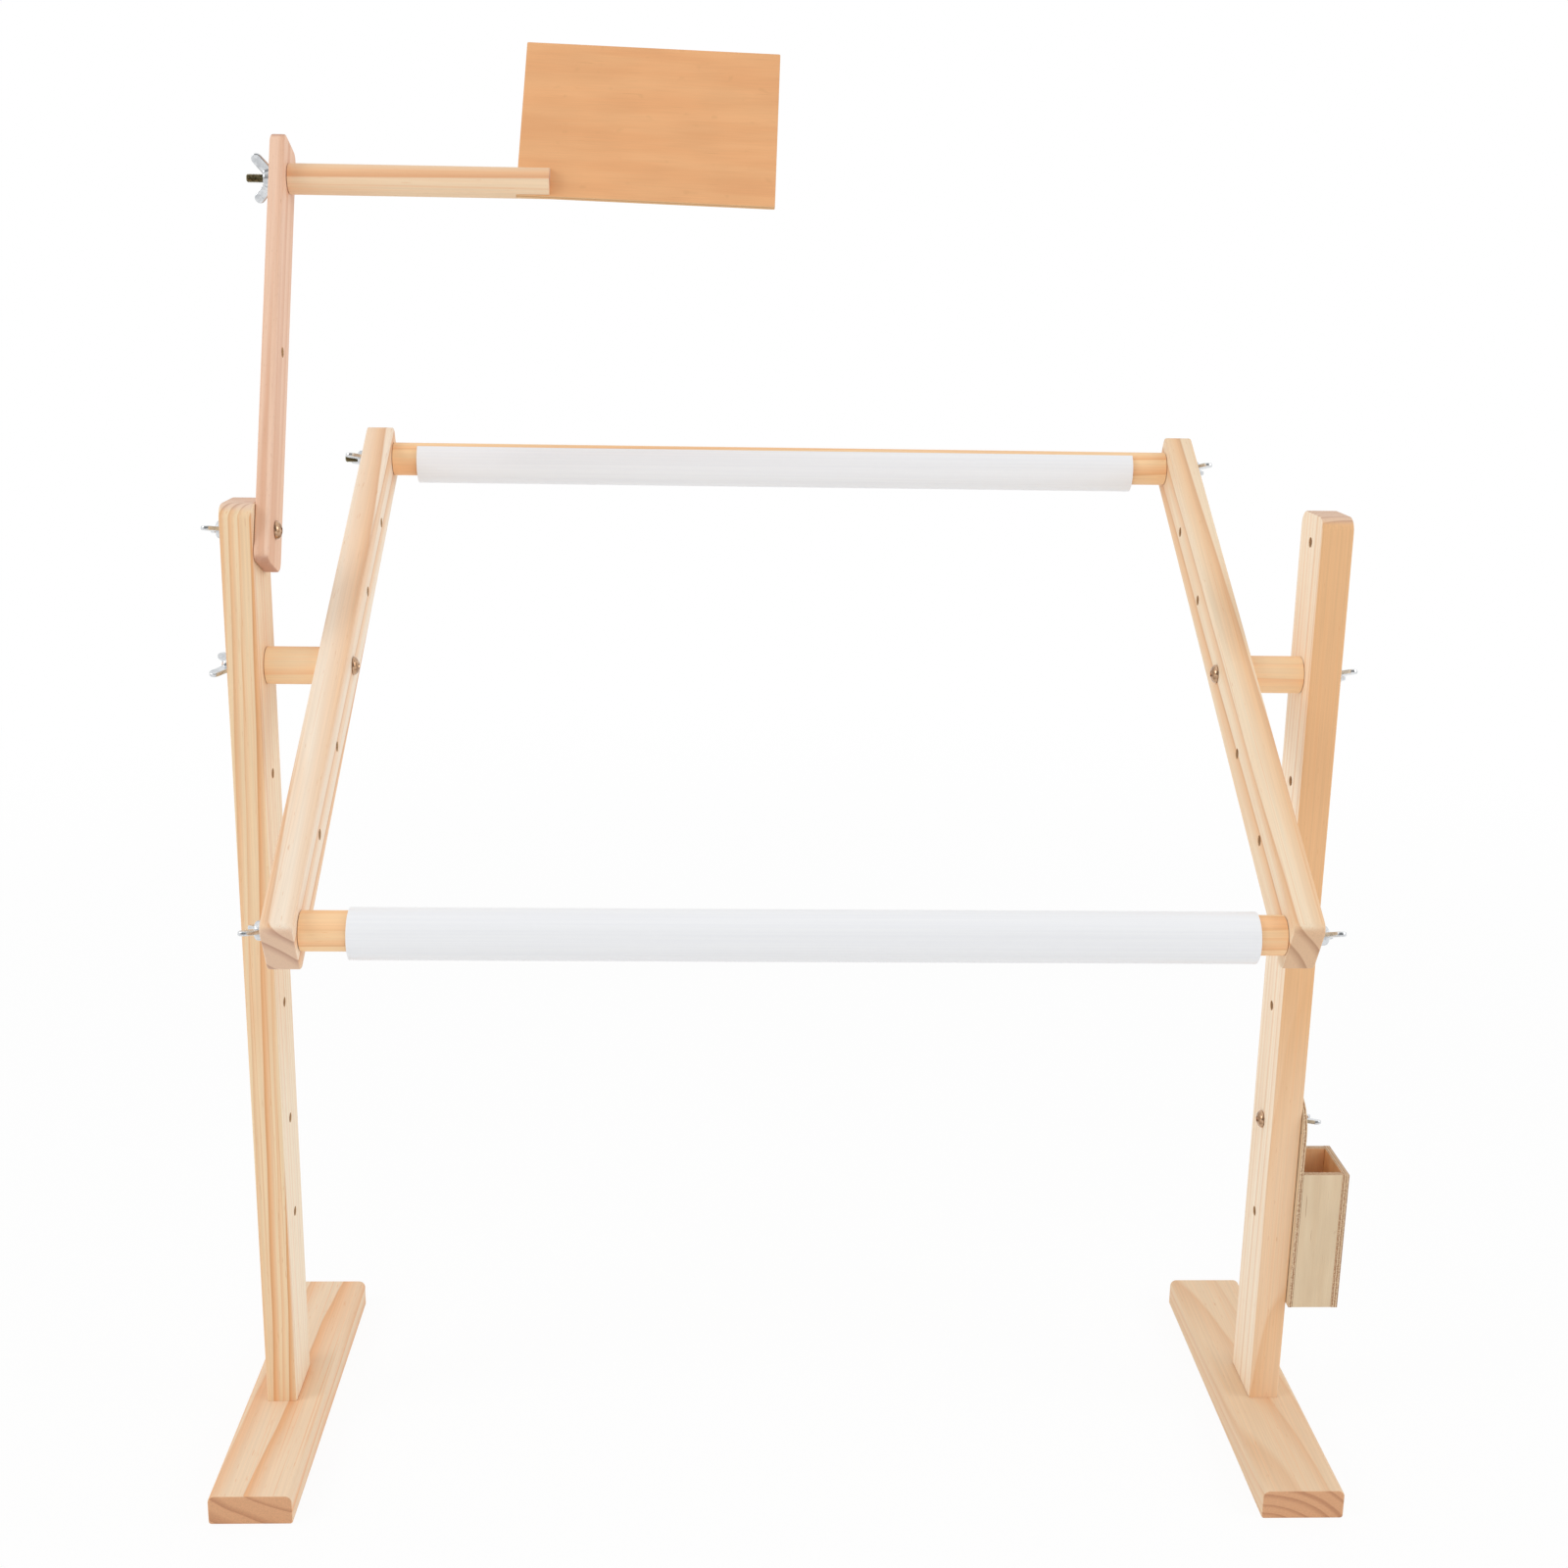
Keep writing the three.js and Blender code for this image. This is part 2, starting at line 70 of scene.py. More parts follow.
# Planed wood, in millimetres; a cutter reaches CUT_PAST beyond what it cuts, and the painted light or shade
# on one face of a post changes its strength between the two heights given for it below
EASED_EDGE = 1.3
CORNER_STEPS = 8
EDGE_STEPS = 4
WELD_GAP = 0.001
HOLE_RADIUS = 3.3
HOLE_RIM = 0.35
HOLE_SIDES = 48
CUT_PAST = 1
POST_CORNER = 10
POST_HOLES_BELOW_TOP = (20, 113, 190, 275, 360, 450, 525)
# Heights between which a post's painted light or shade changes its strength
PAINTED_SHADING_HEIGHTS = (200, 350)
RAIL_DEPTH = 41
RAIL_END = 17
RIGHT_RAIL_FRONT_END = 13
RAIL_CORNER = 7
RAIL_HOLES_EACH_SIDE = 3
ARM_WIDTH = 40
ARM_END = 26
ARM_CORNER = 8
ARM_HOLES = 3
FOOT_TOP_EDGE = 5
FOOT_BOTTOM_EDGE = 2

# Turned wood, in millimetres
ROD_RADIUS = 12.5
SPACER_RADIUS = 13
HOLDER_RADIUS = 10.5
DOWEL_EDGE = 0.4
DOWEL_EDGE_STEPS = 6
DOWEL_SIDES = 96
STUD_DEPTH = 30
THROUGH = math.inf
SLOT_WIDTH = 4.2
SLOT_DEPTH = 23.2

# Plywood of the pattern board and the tool box, in millimetres and degrees
BOARD_WIDTH = 180
BOARD_HEIGHT = 123
BOARD_THICKNESS = 4
BOARD_CORNER = 1
BOARD_TILT = 30.5
BOARD_DROOP = 1.9
BOARD_INSET = 23
PLY_EDGE = 0.4
PLATE_ROUND = 25

# Cloth channels, in millimetres and degrees
CHANNEL_INNER = 14.5
CHANNEL_WALL = 1.6
CHANNEL_MOUTH = 114
CHANNEL_CUT_EDGE = 0.25
CHANNEL_STEPS = 72
LIP_STEPS = 8
FRONT_MOUTH_TURN = -40
REAR_MOUTH_TURN = 70
REAR_LIFT = 2

# Bolts and studs, in millimetres; a thread has THREAD_ROWS rings of points to a turn
SEAT_GAP = 0.3
SHANK_RADIUS = 3.0
BOLT_SIDES = 40
THREAD_PITCH = 1.0
THREAD_DEPTH = 0.6
THREAD_ROWS = 6
THREAD_LENGTH = 26
TIP_CHAMFER = 0.8
STUD_CHAMFER = 0.5
HEAD_RADIUS = 6.5
HEAD_HEIGHT = 4
HEAD_EDGE_WIDTH = 0.25
HEAD_EDGE_HEIGHT = 0.35
DOME_STEPS = 12

# Cross recesses, in millimetres: a slot's length and width at its mouth and at its floor
RECESS_MOUTH = (6.6, 1.9)
RECESS_FLOOR = (2.6, 1.1)
RECESS_DEPTH = 2.4
SCREW_RECESS_MOUTH = (4.6, 1.2)
SCREW_RECESS_FLOOR = (1.8, 0.8)
SCREW_RECESS_DEPTH = 1.9
RECESS_PAST = 0.5

# Wing nuts, in millimetres; the boss is a half profile of (radius, height), and the bore is cut up to
# NUT_BORE_TOP, past the roots of the wings
NUT_SIDES = 48
NUT_BORE = 3.1
NUT_BORE_TOP = 9
NUT_HEIGHT = 7
NUT_BOSS = ((6.2, 0), (6.6, 0.4), (6.6, 1.4), (5.9, 6), (4.8, NUT_HEIGHT))
WING_SPAN = 34
WING_REACH = 14.5
WING_WIDTH = 7.5
WING_THICKNESS = 3
WING_EDGE = 0.9
WING_TIP_STEPS = 12
WING_ROOT = Vector((4.2, 3.15))
CAST_GRAIN = 0.3
CAST_SMOOTHINGS = 4
CAST_FACES_KEPT = 0.22

# Foot screws, in millimetres
SCREW_RADIUS = 2.0
SCREW_HEAD_RADIUS = 4.0
SCREW_HEAD_EDGE = 0.2
SCREW_HEAD_HEIGHT = 2.4
SCREW_SHANK_END = 14
SCREW_THREAD_START = 15
SCREW_PITCH = 2.0
SCREW_THREAD_DEPTH = 0.7
SCREW_POINT = 4
SCREW_SIDES = 32

# Camera, fitted to the photograph: its place from the floor midway between the posts, its turns in
# degrees, what it sees from near to far in metres, its sensor in millimetres and its lens in pixels
CAMERA_PLACE = Vector((-51.68, -1362.98, 856.09)) * MM
CAMERA_YAW = 2.107
CAMERA_PITCH = -14.828
CAMERA_ROLL = 0.964
CAMERA_CLIP = (0.01, 50)
SENSOR = 36.0
FOCAL_PIXELS = 2041.98
PHOTO_WIDTH = 1600

# Surroundings: how strongly they light the object, and how dim metal sees the lamps' side
WORLD_LIGHT = 0.74
DIM_SIDE = 0.25

# Floor: its size in metres, its mottle's size and the stretch in which it fades to white in millimetres
FLOOR_SIZE = 24
FLOOR_MOTTLE = (300, 300, 300)
FLOOR_FADE = (900, 2600)
FLOOR_GLOW = 0.92

# Lamps: name, place and diameter in metres, power in watts; both aim at one point
LAMP_AIM = Vector((0, 0, 0.5))
LAMPS = (("key light", (-2.5, -1.1, 2.0), 1.6, 20), ("fill light", (2.5, -0.9, 1.7), 1.8, 16))


# Colour and nodes
def linear(colour):
    """An sRGB hex colour as the linear colour that a socket holds."""
    shares = [int(colour[i:i + 2], 16) / 255 for i in (0, 2, 4)]
    return (*[s / 12.92 if s <= 0.04045 else ((s + 0.055) / 1.055) ** 2.4 for s in shares], 1.0)


def add(tree, kind, *values, stops=(), **settings):
    """Adds a node, fills or links its open sockets in their order, and gives its first output."""
    node = tree.nodes.new("ShaderNode" + kind)
    for name, value in settings.items():
        setattr(node, name, value)
    if stops:
        ramp = node.color_ramp.elements
        for place, colour in stops[1:-1]:
            ramp.new(place).color = colour
        ramp[0].position, ramp[0].color = stops[0]
        ramp[-1].position, ramp[-1].color = stops[-1]
    sockets = [socket for socket in node.inputs if socket.enabled]
    for socket, value in zip(sockets, values):
        if isinstance(value, bpy.types.NodeSocket):
            tree.links.new(value, socket)
        elif value is not None:
            socket.default_value = value
    return next((socket for socket in node.outputs if socket.enabled), None)


def new_material(name):
    """An empty material, with the helper that adds nodes to it."""
    material = bpy.data.materials.new(name)
    material.use_nodes = True
    material.node_tree.nodes.clear()
    return material, partial(add, material.node_tree)


def finished(put, colour, roughness, height, depth, metallic=0.0, ior=1.5):
    """The surface itself; height is a relief of that depth in millimetres."""
    relief = put("Bump", 1.0, depth * MM, None, height)
    put("OutputMaterial", put("BsdfPrincipled", colour, metallic, roughness, ior, None, relief))


# How far each step of a material's seed moves its patterns along the three axes, in millimetres
SEED_MOVE = (37, 61, 413)


def place_on_piece(put, seed):
    """Place on the piece in mm, the same moved off so that no two pieces match, and the way it faces."""
    own = put("TexCoord").node.outputs
    exact = put("VectorMath", own["Object"], 1 / MM, operation="SCALE")
    moved = put("VectorMath", exact, [seed * move for move in SEED_MOVE])
    return exact, moved, put("SeparateXYZ", own["Normal"]).node.outputs


# Settings that many nodes share. A place in mm is SIZED by a pattern's own size in mm: twice across the
# grain and once along it. Real fibres, pores and draw lines are finer than a pixel, so here they are as
# coarse as they need to be to show.
SIZED = {"operation": "DIVIDE"}
SOFT = {"interpolation_type": "SMOOTHSTEP"}
COLOUR = {"data_type": "RGBA"}


# Pine: fast-grown plantation softwood, planed and sanded bare. Wide cream growth rings darken slowly
# to a peach band and end in a thin line; fine fibres run along the piece, and sawn ends are darker.
def pine(name, seed, pith, ring, light="f6dfc0", band="efbf8e", line="dba06c", sawn=("e6c3a6", "bd917a"),
         painted_face_shading=None, speckle=0.06, taper=0.02, sway=2.5, wander=0.8, contrast=1.0):
    """Pith is how far the tree's heart lies from the piece's middle, and ring is one year's growth, in mm.

    Light, band and line are a ring's tones in the order in which it grew, and sawn holds an end's light
    and dark. Taper, sway and wander bend the rings along the piece, and contrast is how strongly they
    show. One face can take painted light or shade, a lighter or darker tone in place of how it is lit:
    the axis that it faces along, which way, the painted colour, and that colour's share at the foot and
    at the top.
    """
    material, put = new_material(name)
    exact, moved, way = place_on_piece(put, seed)
    drift = put("TexNoise", put("VectorMath", moved, (70, 70, 230), **SIZED), 1.0, 2.0, 0.45)
    bent = put("VectorMath", drift.node.outputs["Color"], (2 * sway, 2 * sway, 0), exact,
               operation="MULTIPLY_ADD")
    across = put("VectorMath", bent, (1, 1, 0), (-pith[0] - sway, -pith[1] - sway, 0),
                 operation="MULTIPLY_ADD")
    radius = put("VectorMath", across, operation="LENGTH")
    along = put("SeparateXYZ", exact).node.outputs["Z"]
    grown = put("Math", along, taper, radius, operation="MULTIPLY_ADD")
    even = put("Math", grown, ring, operation="DIVIDE")
    uneven = put("TexNoise", even, 0.8, 1.0, noise_dimensions="1D")
    offset = put("Math", uneven, 0.5, operation="SUBTRACT")
    years = put("Math", offset, wander, even, operation="MULTIPLY_ADD")
    phase = put("Math", years, operation="FRACT")
    year = put("Math", years, operation="FLOOR")
    vigour = put("MapRange", put("TexWhiteNoise", year, noise_dimensions="1D"),
                 0.0, 1.0, 0.4 * contrast, contrast, **SOFT)

    long_grain = put("ValToRGB", phase, stops=[
        (0.02, linear(light)), (0.4, linear(light)), (0.78, linear(band)),
        (0.93, linear(line)), (0.985, linear(light))])
    face = put("Mix", vigour, linear(light), long_grain, **COLOUR)
    cloud = put("TexNoise", put("VectorMath", moved, (30, 30, 190), **SIZED), 1.0, 2.0)
    face = put("Mix", put("MapRange", cloud, 0.48, 0.75, 0.0, 0.4 * contrast, **SOFT), face, linear(band),
               **COLOUR)
    # Painted light or shade: the face that points the given way takes a lighter or darker tone, its share
    # changing with height, in place of how the lamps light it
    if painted_face_shading:
        axis, sign, painted_tone, foot_share, top_share = painted_face_shading
        share = put("MapRange", along, *PAINTED_SHADING_HEIGHTS, foot_share, top_share, **SOFT)
        facing = put("Math", way[axis], sign, operation="MULTIPLY")
        share = put("MapRange", facing, 0.3, 0.8, 0.0, share, **SOFT)
        face = put("Mix", share, face, linear(painted_tone), **COLOUR)
    fibres = put("TexNoise", put("VectorMath", moved, (0.7, 0.7, 60), **SIZED), 1.0, 3.0, 0.6)
    streaks = put("TexNoise", put("VectorMath", moved, (1.8, 1.8, 260), **SIZED), 1.0, 1.0)
    shade = put("MapRange", put("Math", fibres, streaks), 0.7, 1.3, 0.95, 1.04, **SOFT)
    face = put("HueSaturation", 0.5, 1.0, shade, 1.0, face)
    face = put("Mix", put("MapRange", streaks, 0.6, 0.72, 0.0, 0.35 * contrast, **SOFT), face, linear(line),
               **COLOUR)
    duct = put("TexNoise", put("VectorMath", moved, (0.8, 0.8, 10), **SIZED), 1.0, 0.0)
    face = put("Mix", put("MapRange", duct, 0.77, 0.84, 0.0, 0.4, **SOFT), face, linear(line), **COLOUR)

    end_light, end_dark = (linear(tone) for tone in sawn)
    end_rings = put("ValToRGB", phase, stops=[
        (0.02, end_light), (0.6, end_light), (0.88, end_dark), (0.94, end_dark), (0.99, end_light)])
    pores = put("TexNoise", put("VectorMath", moved, (0.9, 0.9, 0.9), **SIZED), 1.0, 3.0, 0.7)
    pore_shade = put("MapRange", pores, 0.3, 0.7, 1 - speckle, 1 + speckle)
    end_face = put("HueSaturation", 0.5, 1.0, pore_shade, 1.0,
                   put("Mix", 0.8, end_light, end_rings, **COLOUR))
    is_end = put("MapRange", put("Math", way["Z"], operation="ABSOLUTE"), 0.45, 0.9, **SOFT)
    colour = put("Mix", is_end, face, end_face, **COLOUR)
    relief = put("Math", phase, 0.4, fibres, operation="MULTIPLY_ADD")
    finished(put, colour, put("MapRange", fibres, 0.3, 0.7, 0.52, 0.66), relief, 0.04)
    return material


# Drilled pine: the wall of a bolt hole, torn by the drill and coloured a darker brown than a face.
def drilled_pine():
    material, put = new_material("drilled pine")
    _, moved, _ = place_on_piece(put, 3)
    torn = put("TexNoise", put("VectorMath", moved, (0.6, 0.6, 0.6), **SIZED), 1.0, 3.0, 0.7)
    colour = put("Mix", put("MapRange", torn, 0.3, 0.7), linear("b08a62"), linear("d8b085"), **COLOUR)
    finished(put, colour, 0.85, torn, 0.2)
    return material


# Beech: salmon-pink close-grained hardwood, planed; fine short flecks lie along the grain.
def planed_beech():
    material, put = new_material("planed beech")
    _, moved, way = place_on_piece(put, 12)
    bands = put("TexNoise", put("VectorMath", moved, (4, 9, 300), **SIZED), 1.0, 2.0)
    band = put("MapRange", bands, 0.35, 0.65, **SOFT)
    colour = put("Mix", band, linear("f2cbb0"), linear("e5b494"), **COLOUR)
    fibres = put("TexNoise", put("VectorMath", moved, (0.6, 0.6, 30), **SIZED), 1.0, 3.0, 0.6)
    colour = put("HueSaturation", 0.5, 1.0, put("MapRange", fibres, 0.3, 0.7, 0.96, 1.04), 1.0, colour)
    fleck = put("TexNoise", put("VectorMath", moved, (0.5, 0.5, 4.5), **SIZED), 1.0, 0.0)
    is_fleck = put("MapRange", fleck, 0.7, 0.8, 0.0, 0.3, **SOFT)
    colour = put("Mix", is_fleck, colour, linear("b98660"), **COLOUR)
    pores = put("TexNoise", put("VectorMath", moved, (0.6, 0.6, 0.6), **SIZED), 1.0, 2.0, 0.6)
    sawn = put("Mix", put("MapRange", pores, 0.35, 0.65), linear("bf8b70"), linear("d4a58c"), **COLOUR)
    is_end = put("MapRange", put("Math", way["Z"], operation="ABSOLUTE"), 0.35, 0.8, **SOFT)
    colour = put("Mix", is_end, colour, sawn, **COLOUR)
    finished(put, colour, put("MapRange", fibres, 0.3, 0.7, 0.5, 0.62), fibres, 0.03)
    return material


# Plywood: thin peeled veneers, sanded on the faces; a sawn edge shows the glued layers and torn fibres.
def plywood(name, seed, face, edge, layer, flame, inside=None, torn_scale=0.7, ragged=0.6):
    """Face, edge and inside hold a light and a dark tone each, and flame is the size of a face's figure
    and layer the thickness of one veneer, in mm.

    A sawn edge is torn in patches of about torn_scale mm; where ragged is high they hide the layers.
    """
    material, put = new_material(name)
    exact, moved, way = place_on_piece(put, seed)
    figure = put("MapRange", put("TexNoise", put("VectorMath", moved, flame, **SIZED), 1.0, 2.0),
                 0.3, 0.7, **SOFT)
    outer = put("Mix", figure, linear(face[0]), linear(face[1]), **COLOUR)
    # Faces towards -X, the inside of a box panel, take a second, more orange tone
    if inside:
        inner = put("Mix", figure, linear(inside[0]), linear(inside[1]), **COLOUR)
        is_inner = put("MapRange", way["X"], -0.5, -0.7)
        outer = put("Mix", is_inner, outer, inner, **COLOUR)
    fibres = put("TexNoise", put("VectorMath", moved, (0.8, 0.8, 26), **SIZED), 1.0, 3.0, 0.6)
    cloud = put("TexNoise", put("VectorMath", moved, (26, 26, 40), **SIZED), 1.0, 1.0)
    shade = put("MapRange", put("Math", fibres, cloud), 0.7, 1.3, 0.965, 1.03, **SOFT)
    outer = put("HueSaturation", 0.5, 1.0, shade, 1.0, outer)
    knot = put("TexNoise", put("VectorMath", moved, (6, 6, 8), **SIZED), 1.0, 0.0)
    is_knot = put("MapRange", knot, 0.76, 0.88, 0.0, 0.22, **SOFT)
    outer = put("Mix", is_knot, outer, linear(edge[1]), **COLOUR)
    slit = put("TexNoise", put("VectorMath", moved, (1.0, 0.9, 30), **SIZED), 1.0, 0.0)
    is_slit = put("MapRange", slit, 0.805, 0.85, 0.0, 0.5, **SOFT)
    outer = put("Mix", is_slit, outer, linear(edge[1]), **COLOUR)

    depth = put("SeparateXYZ", exact)
    torn = put("TexNoise", put("VectorMath", moved, (torn_scale,) * 3, **SIZED), 1.0, 3.0, 0.7)
    turn = put("Math", put("Math", torn, 0.5, depth, operation="MULTIPLY_ADD"), 2 * math.pi / layer,
               operation="MULTIPLY")
    patch = put("MapRange", torn, 0.3, 0.7, -ragged, ragged)
    ply = put("Math", put("Math", turn, operation="SINE"), patch)
    side = put("Mix", put("MapRange", ply, -1.2, 1.2, **SOFT), linear(edge[0]), linear(edge[1]), **COLOUR)
    is_face = put("MapRange", put("Math", way["X"], operation="ABSOLUTE"), 0.4, 0.8, **SOFT)
    colour = put("Mix", is_face, side, outer, **COLOUR)
    relief = put("Mix", is_face, put("Math", torn, 4.0, operation="MULTIPLY"), fibres)
    finished(put, colour, 0.6, relief, 0.05)
    return material


# White PVC: extruded pipe cut open, satin, with faint draw lines along it.
def white_pvc():
    material, put = new_material("white PVC")
    _, moved, _ = place_on_piece(put, 5)
    draw = put("TexNoise", put("VectorMath", moved, (1.5, 1.5, 260), **SIZED), 1.0, 2.0)
    rubbed = put("TexNoise", put("VectorMath", moved, (14, 14, 50), **SIZED), 1.0, 2.0)
    colour = put("Mix", put("MapRange", draw, 0.35, 0.65, **SOFT), linear("f5f6f8"), linear("f2f3f6"),
                 **COLOUR)
    finished(put, colour, put("MapRange", rubbed, 0.3, 0.7, 0.3, 0.38), draw, 0.02, ior=1.53)
    return material


# Plated steel: a cast or rolled surface under bright plate, a little uneven in tone and gloss.
def plated_steel(name, seed, light, dark, roughness):
    material, put = new_material(name)
    _, moved, _ = place_on_piece(put, seed)
    bloom = put("TexNoise", put("VectorMath", moved, (3, 3, 3), **SIZED), 1.0, 3.0, 0.6)
    pitting = put("TexNoise", put("VectorMath", moved, (0.5, 0.5, 0.5), **SIZED), 1.0, 2.0, 0.6)
    colour = put("Mix", put("MapRange", bloom, 0.35, 0.65, **SOFT), linear(light), linear(dark), **COLOUR)
    gloss = put("MapRange", bloom, 0.3, 0.7, roughness - 0.06, roughness + 0.08)
    finished(put, colour, gloss, pitting, 0.02, metallic=1.0)
    return material


# Shapes
def rounded_outline(x0, y0, x1, y1, radii):
    """Rectangle with a radius for each corner, lower left first and anticlockwise."""
    corners = [(x0, y0, 1, 1, 180), (x1, y0, -1, 1, 270), (x1, y1, -1, -1, 0), (x0, y1, 1, -1, 90)]
    points = []
    for (x, y, in_x, in_y, start), radius in zip(corners, radii):
        steps = CORNER_STEPS if radius else 0
        for step in range(steps + 1):
            angle = math.radians(start + 90 * step / max(steps, 1))
            points.append((x + radius * (in_x + math.cos(angle)), y + radius * (in_y + math.sin(angle))))
    return points


def built_mesh(maker):
    """The mesh of an object with its modifiers done, the object itself being thrown away."""
    bpy.context.view_layer.update()
    mesh = bpy.data.meshes.new_from_object(maker.evaluated_get(bpy.context.evaluated_depsgraph_get()))
    data = maker.data
    bpy.data.objects.remove(maker)
    if isinstance(data, bpy.types.Curve):
        bpy.data.curves.remove(data)
    return mesh


def temporary(data):
    """An object that holds a mesh or curve while its modifiers work."""
    maker = bpy.data.objects.new("maker", data)
    bpy.context.scene.collection.objects.link(maker)
    return maker


def extruded(outline, depth, edge):
    """Outline in millimetres given a depth along Z, centred on it, with rounded edges."""
    curve = bpy.data.curves.new("outline", "CURVE")
    curve.dimensions = "2D"
    curve.fill_mode = "BOTH"
    curve.extrude = (depth / 2 - edge) * MM
    curve.bevel_depth = edge * MM
    curve.bevel_resolution = EDGE_STEPS
    curve.offset = -edge * MM
    spline = curve.splines.new("POLY")
    spline.points.add(len(outline) - 1)
    for point, (x, y) in zip(spline.points, outline):
        point.co = (x * MM, y * MM, 0, 1)
    spline.use_cyclic_u = True
    maker = temporary(curve)
    weld = temporary(built_mesh(maker))
    modifier = weld.modifiers.new("weld", "WELD")
    modifier.merge_threshold = WELD_GAP * MM
    return built_mesh(weld)


def turned(rings, sides=DOWEL_SIDES, pitch=THREAD_PITCH):
    """Rings of (radius, height) or (radius, height, groove), in millimetres, turned about Z.

    A groove of that depth winds round them like a thread, once for each pitch.
    """
    points, faces, starts = [], [], []
    for radius, height, *groove in rings:
        starts.append(len(points))
        if radius == 0:
            points.append((0, 0, height * MM))
            continue
        for side in range(sides):
            turn = side / sides
            cut = groove[0] * (1 - abs(2 * ((height / pitch - turn) % 1.0) - 1)) if groove else 0.0
            reach = (radius - cut) * MM
            points.append((reach * math.cos(2 * math.pi * turn), reach * math.sin(2 * math.pi * turn),
                           height * MM))
    pairs = list(zip(rings, starts, rings[1:] + rings[:1], starts[1:] + starts[:1]))
    closed = rings[0][0] > 0
    for lower, low, upper, high in pairs if closed else pairs[:-1]:
        for side in range(sides):
            after = (side + 1) % sides
            if lower[0] == 0:
                faces.append((low, high + after, high + side))
            elif upper[0] == 0:
                faces.append((low + side, low + after, high))
            else:
                faces.append((low + side, low + after, high + after, high + side))
    mesh = bpy.data.meshes.new("turned")
    mesh.from_pydata(points, [], faces)
    mesh.validate()
    return mesh


def boxed(lower, upper, z0, z1):
    """Tapered block: (width, depth) at its lower and upper end, and their heights, in millimetres."""
    points = []
    for (width, depth), z in ((lower, z0), (upper, z1)):
        points += [(sx * width / 2 * MM, sy * depth / 2 * MM, z * MM)
                   for sx, sy in ((-1, -1), (1, -1), (1, 1), (-1, 1))]
    faces = [(3, 2, 1, 0), (4, 5, 6, 7), (0, 1, 5, 4), (1, 2, 6, 5), (2, 3, 7, 6), (3, 0, 4, 7)]
    mesh = bpy.data.meshes.new("block")
    mesh.from_pydata(points, [], faces)
    return mesh


def combined(mesh, tool, operation):
    """Mesh joined with, or cut by, a tool mesh, whose materials its cut faces keep."""
    maker, other = temporary(mesh), temporary(tool)
    modifier = maker.modifiers.new("boolean", "BOOLEAN")
    modifier.operation = operation
    modifier.solver = "EXACT"
    modifier.object = other
    modifier.material_mode = "TRANSFER"
    result = built_mesh(maker)
    bpy.data.objects.remove(other)
    return result


def hole_cutter(depth, spot):
    """Cutter along X for a bolt hole through wood of that thickness, with a slightly broken rim."""
    rim = HOLE_RADIUS + HOLE_RIM
    half = depth / 2
    end = half + CUT_PAST
    cutter = turned([(0, -end), (rim, -end), (rim, -half), (HOLE_RADIUS, -half + HOLE_RIM),
                     (HOLE_RADIUS, half - HOLE_RIM), (rim, half), (rim, end), (0, end)], HOLE_SIDES)
    cutter.materials.append(DRILLED)
    cutter.transform(Matrix.Rotation(math.pi / 2, 4, "Y"))
    cutter.transform(Matrix.Translation(Vector((0, spot[0], spot[1])) * MM))
    return cutter


def placed(origin, along, across):
    """Matrix whose Z axis runs along and whose X axis runs across, at a place in metres."""
    along, across = along.normalized(), across.normalized()
    side = along.cross(across)
    matrix = Matrix((across, side, along)).transposed().to_4x4()
    matrix.translation = origin
    return matrix


def dress(mesh, node, word, material, matrix, sharp=35):
    """Puts a mesh in place of a CAD node, riding where the node rides."""
    if not mesh.materials:
        mesh.materials.append(material)
    elif material.name not in mesh.materials:
        mesh.materials[0] = material
    mesh.polygons.foreach_set("use_smooth", [True] * len(mesh.polygons))
    mesh.set_sharp_from_angle(angle=math.radians(sharp))
    piece = bpy.data.objects.new(f"{node}_{word}", mesh)
    bpy.context.scene.collection.objects.link(piece)
    piece.matrix_world = matrix
    shading = piece.modifiers.new("even shading", "WEIGHTED_NORMAL")
    shading.keep_sharp = True
    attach(piece, nodes[node]["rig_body"])
    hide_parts(node)


def plank(outline, thickness, holes, material, edge=EASED_EDGE):
    """Wood with its outline in the Y, Z plane and its thickness along X, drilled at (y, z) spots."""
    mesh = extruded(outline, thickness, edge)
    mesh.transform(Matrix(((0, 0, 1, 0), (1, 0, 0, 0), (0, 1, 0, 0), (0, 0, 0, 1))))
    mesh.materials.clear()
    mesh.materials.append(material)
    for spot in holes:
        mesh = combined(mesh, hole_cutter(thickness, spot), "DIFFERENCE")
    return mesh


def middle(node):
    """Middle of the node's box, in metres."""
    low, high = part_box(node)
    return (low + high) / 2


def size_of(node):
    """Sizes of the node's box along X, Y and Z, in millimetres to three places."""
    low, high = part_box(node)
    return [round(reach / MM, 3) for reach in high - low]


def side_of(node):
    """-1 for a piece on the left, 1 for a piece on the right."""
    return -1 if middle(node).x < 0 else 1


# Wooden pieces
def make_foot(node, material):
    """A foot, its grain from front to back."""
    width, length, thickness = size_of(node)
    outline = rounded_outline(-width / 2, -thickness / 2, width / 2, thickness / 2,
                              (FOOT_TOP_EDGE, FOOT_TOP_EDGE, FOOT_BOTTOM_EDGE, FOOT_BOTTOM_EDGE))
    mesh = extruded(outline, length, EASED_EDGE)
    dress(mesh, node, "pine", material, placed(middle(node), Y_AXIS, X_AXIS))


def make_post(node, material):
    """A post with its top corners rounded and its row of holes drilled."""
    low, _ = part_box(node)
    thickness, depth, length = size_of(node)
    outline = rounded_outline(-depth / 2, 0, depth / 2, length, (0, 0, POST_CORNER, POST_CORNER))
    holes = [(0, length - drop) for drop in POST_HOLES_BELOW_TOP]
    mesh = plank(outline, thickness, holes, material)
    dress(mesh, node, "pine", material, placed(Vector((*middle(node).xy, low.z)), Z_AXIS, X_AXIS))


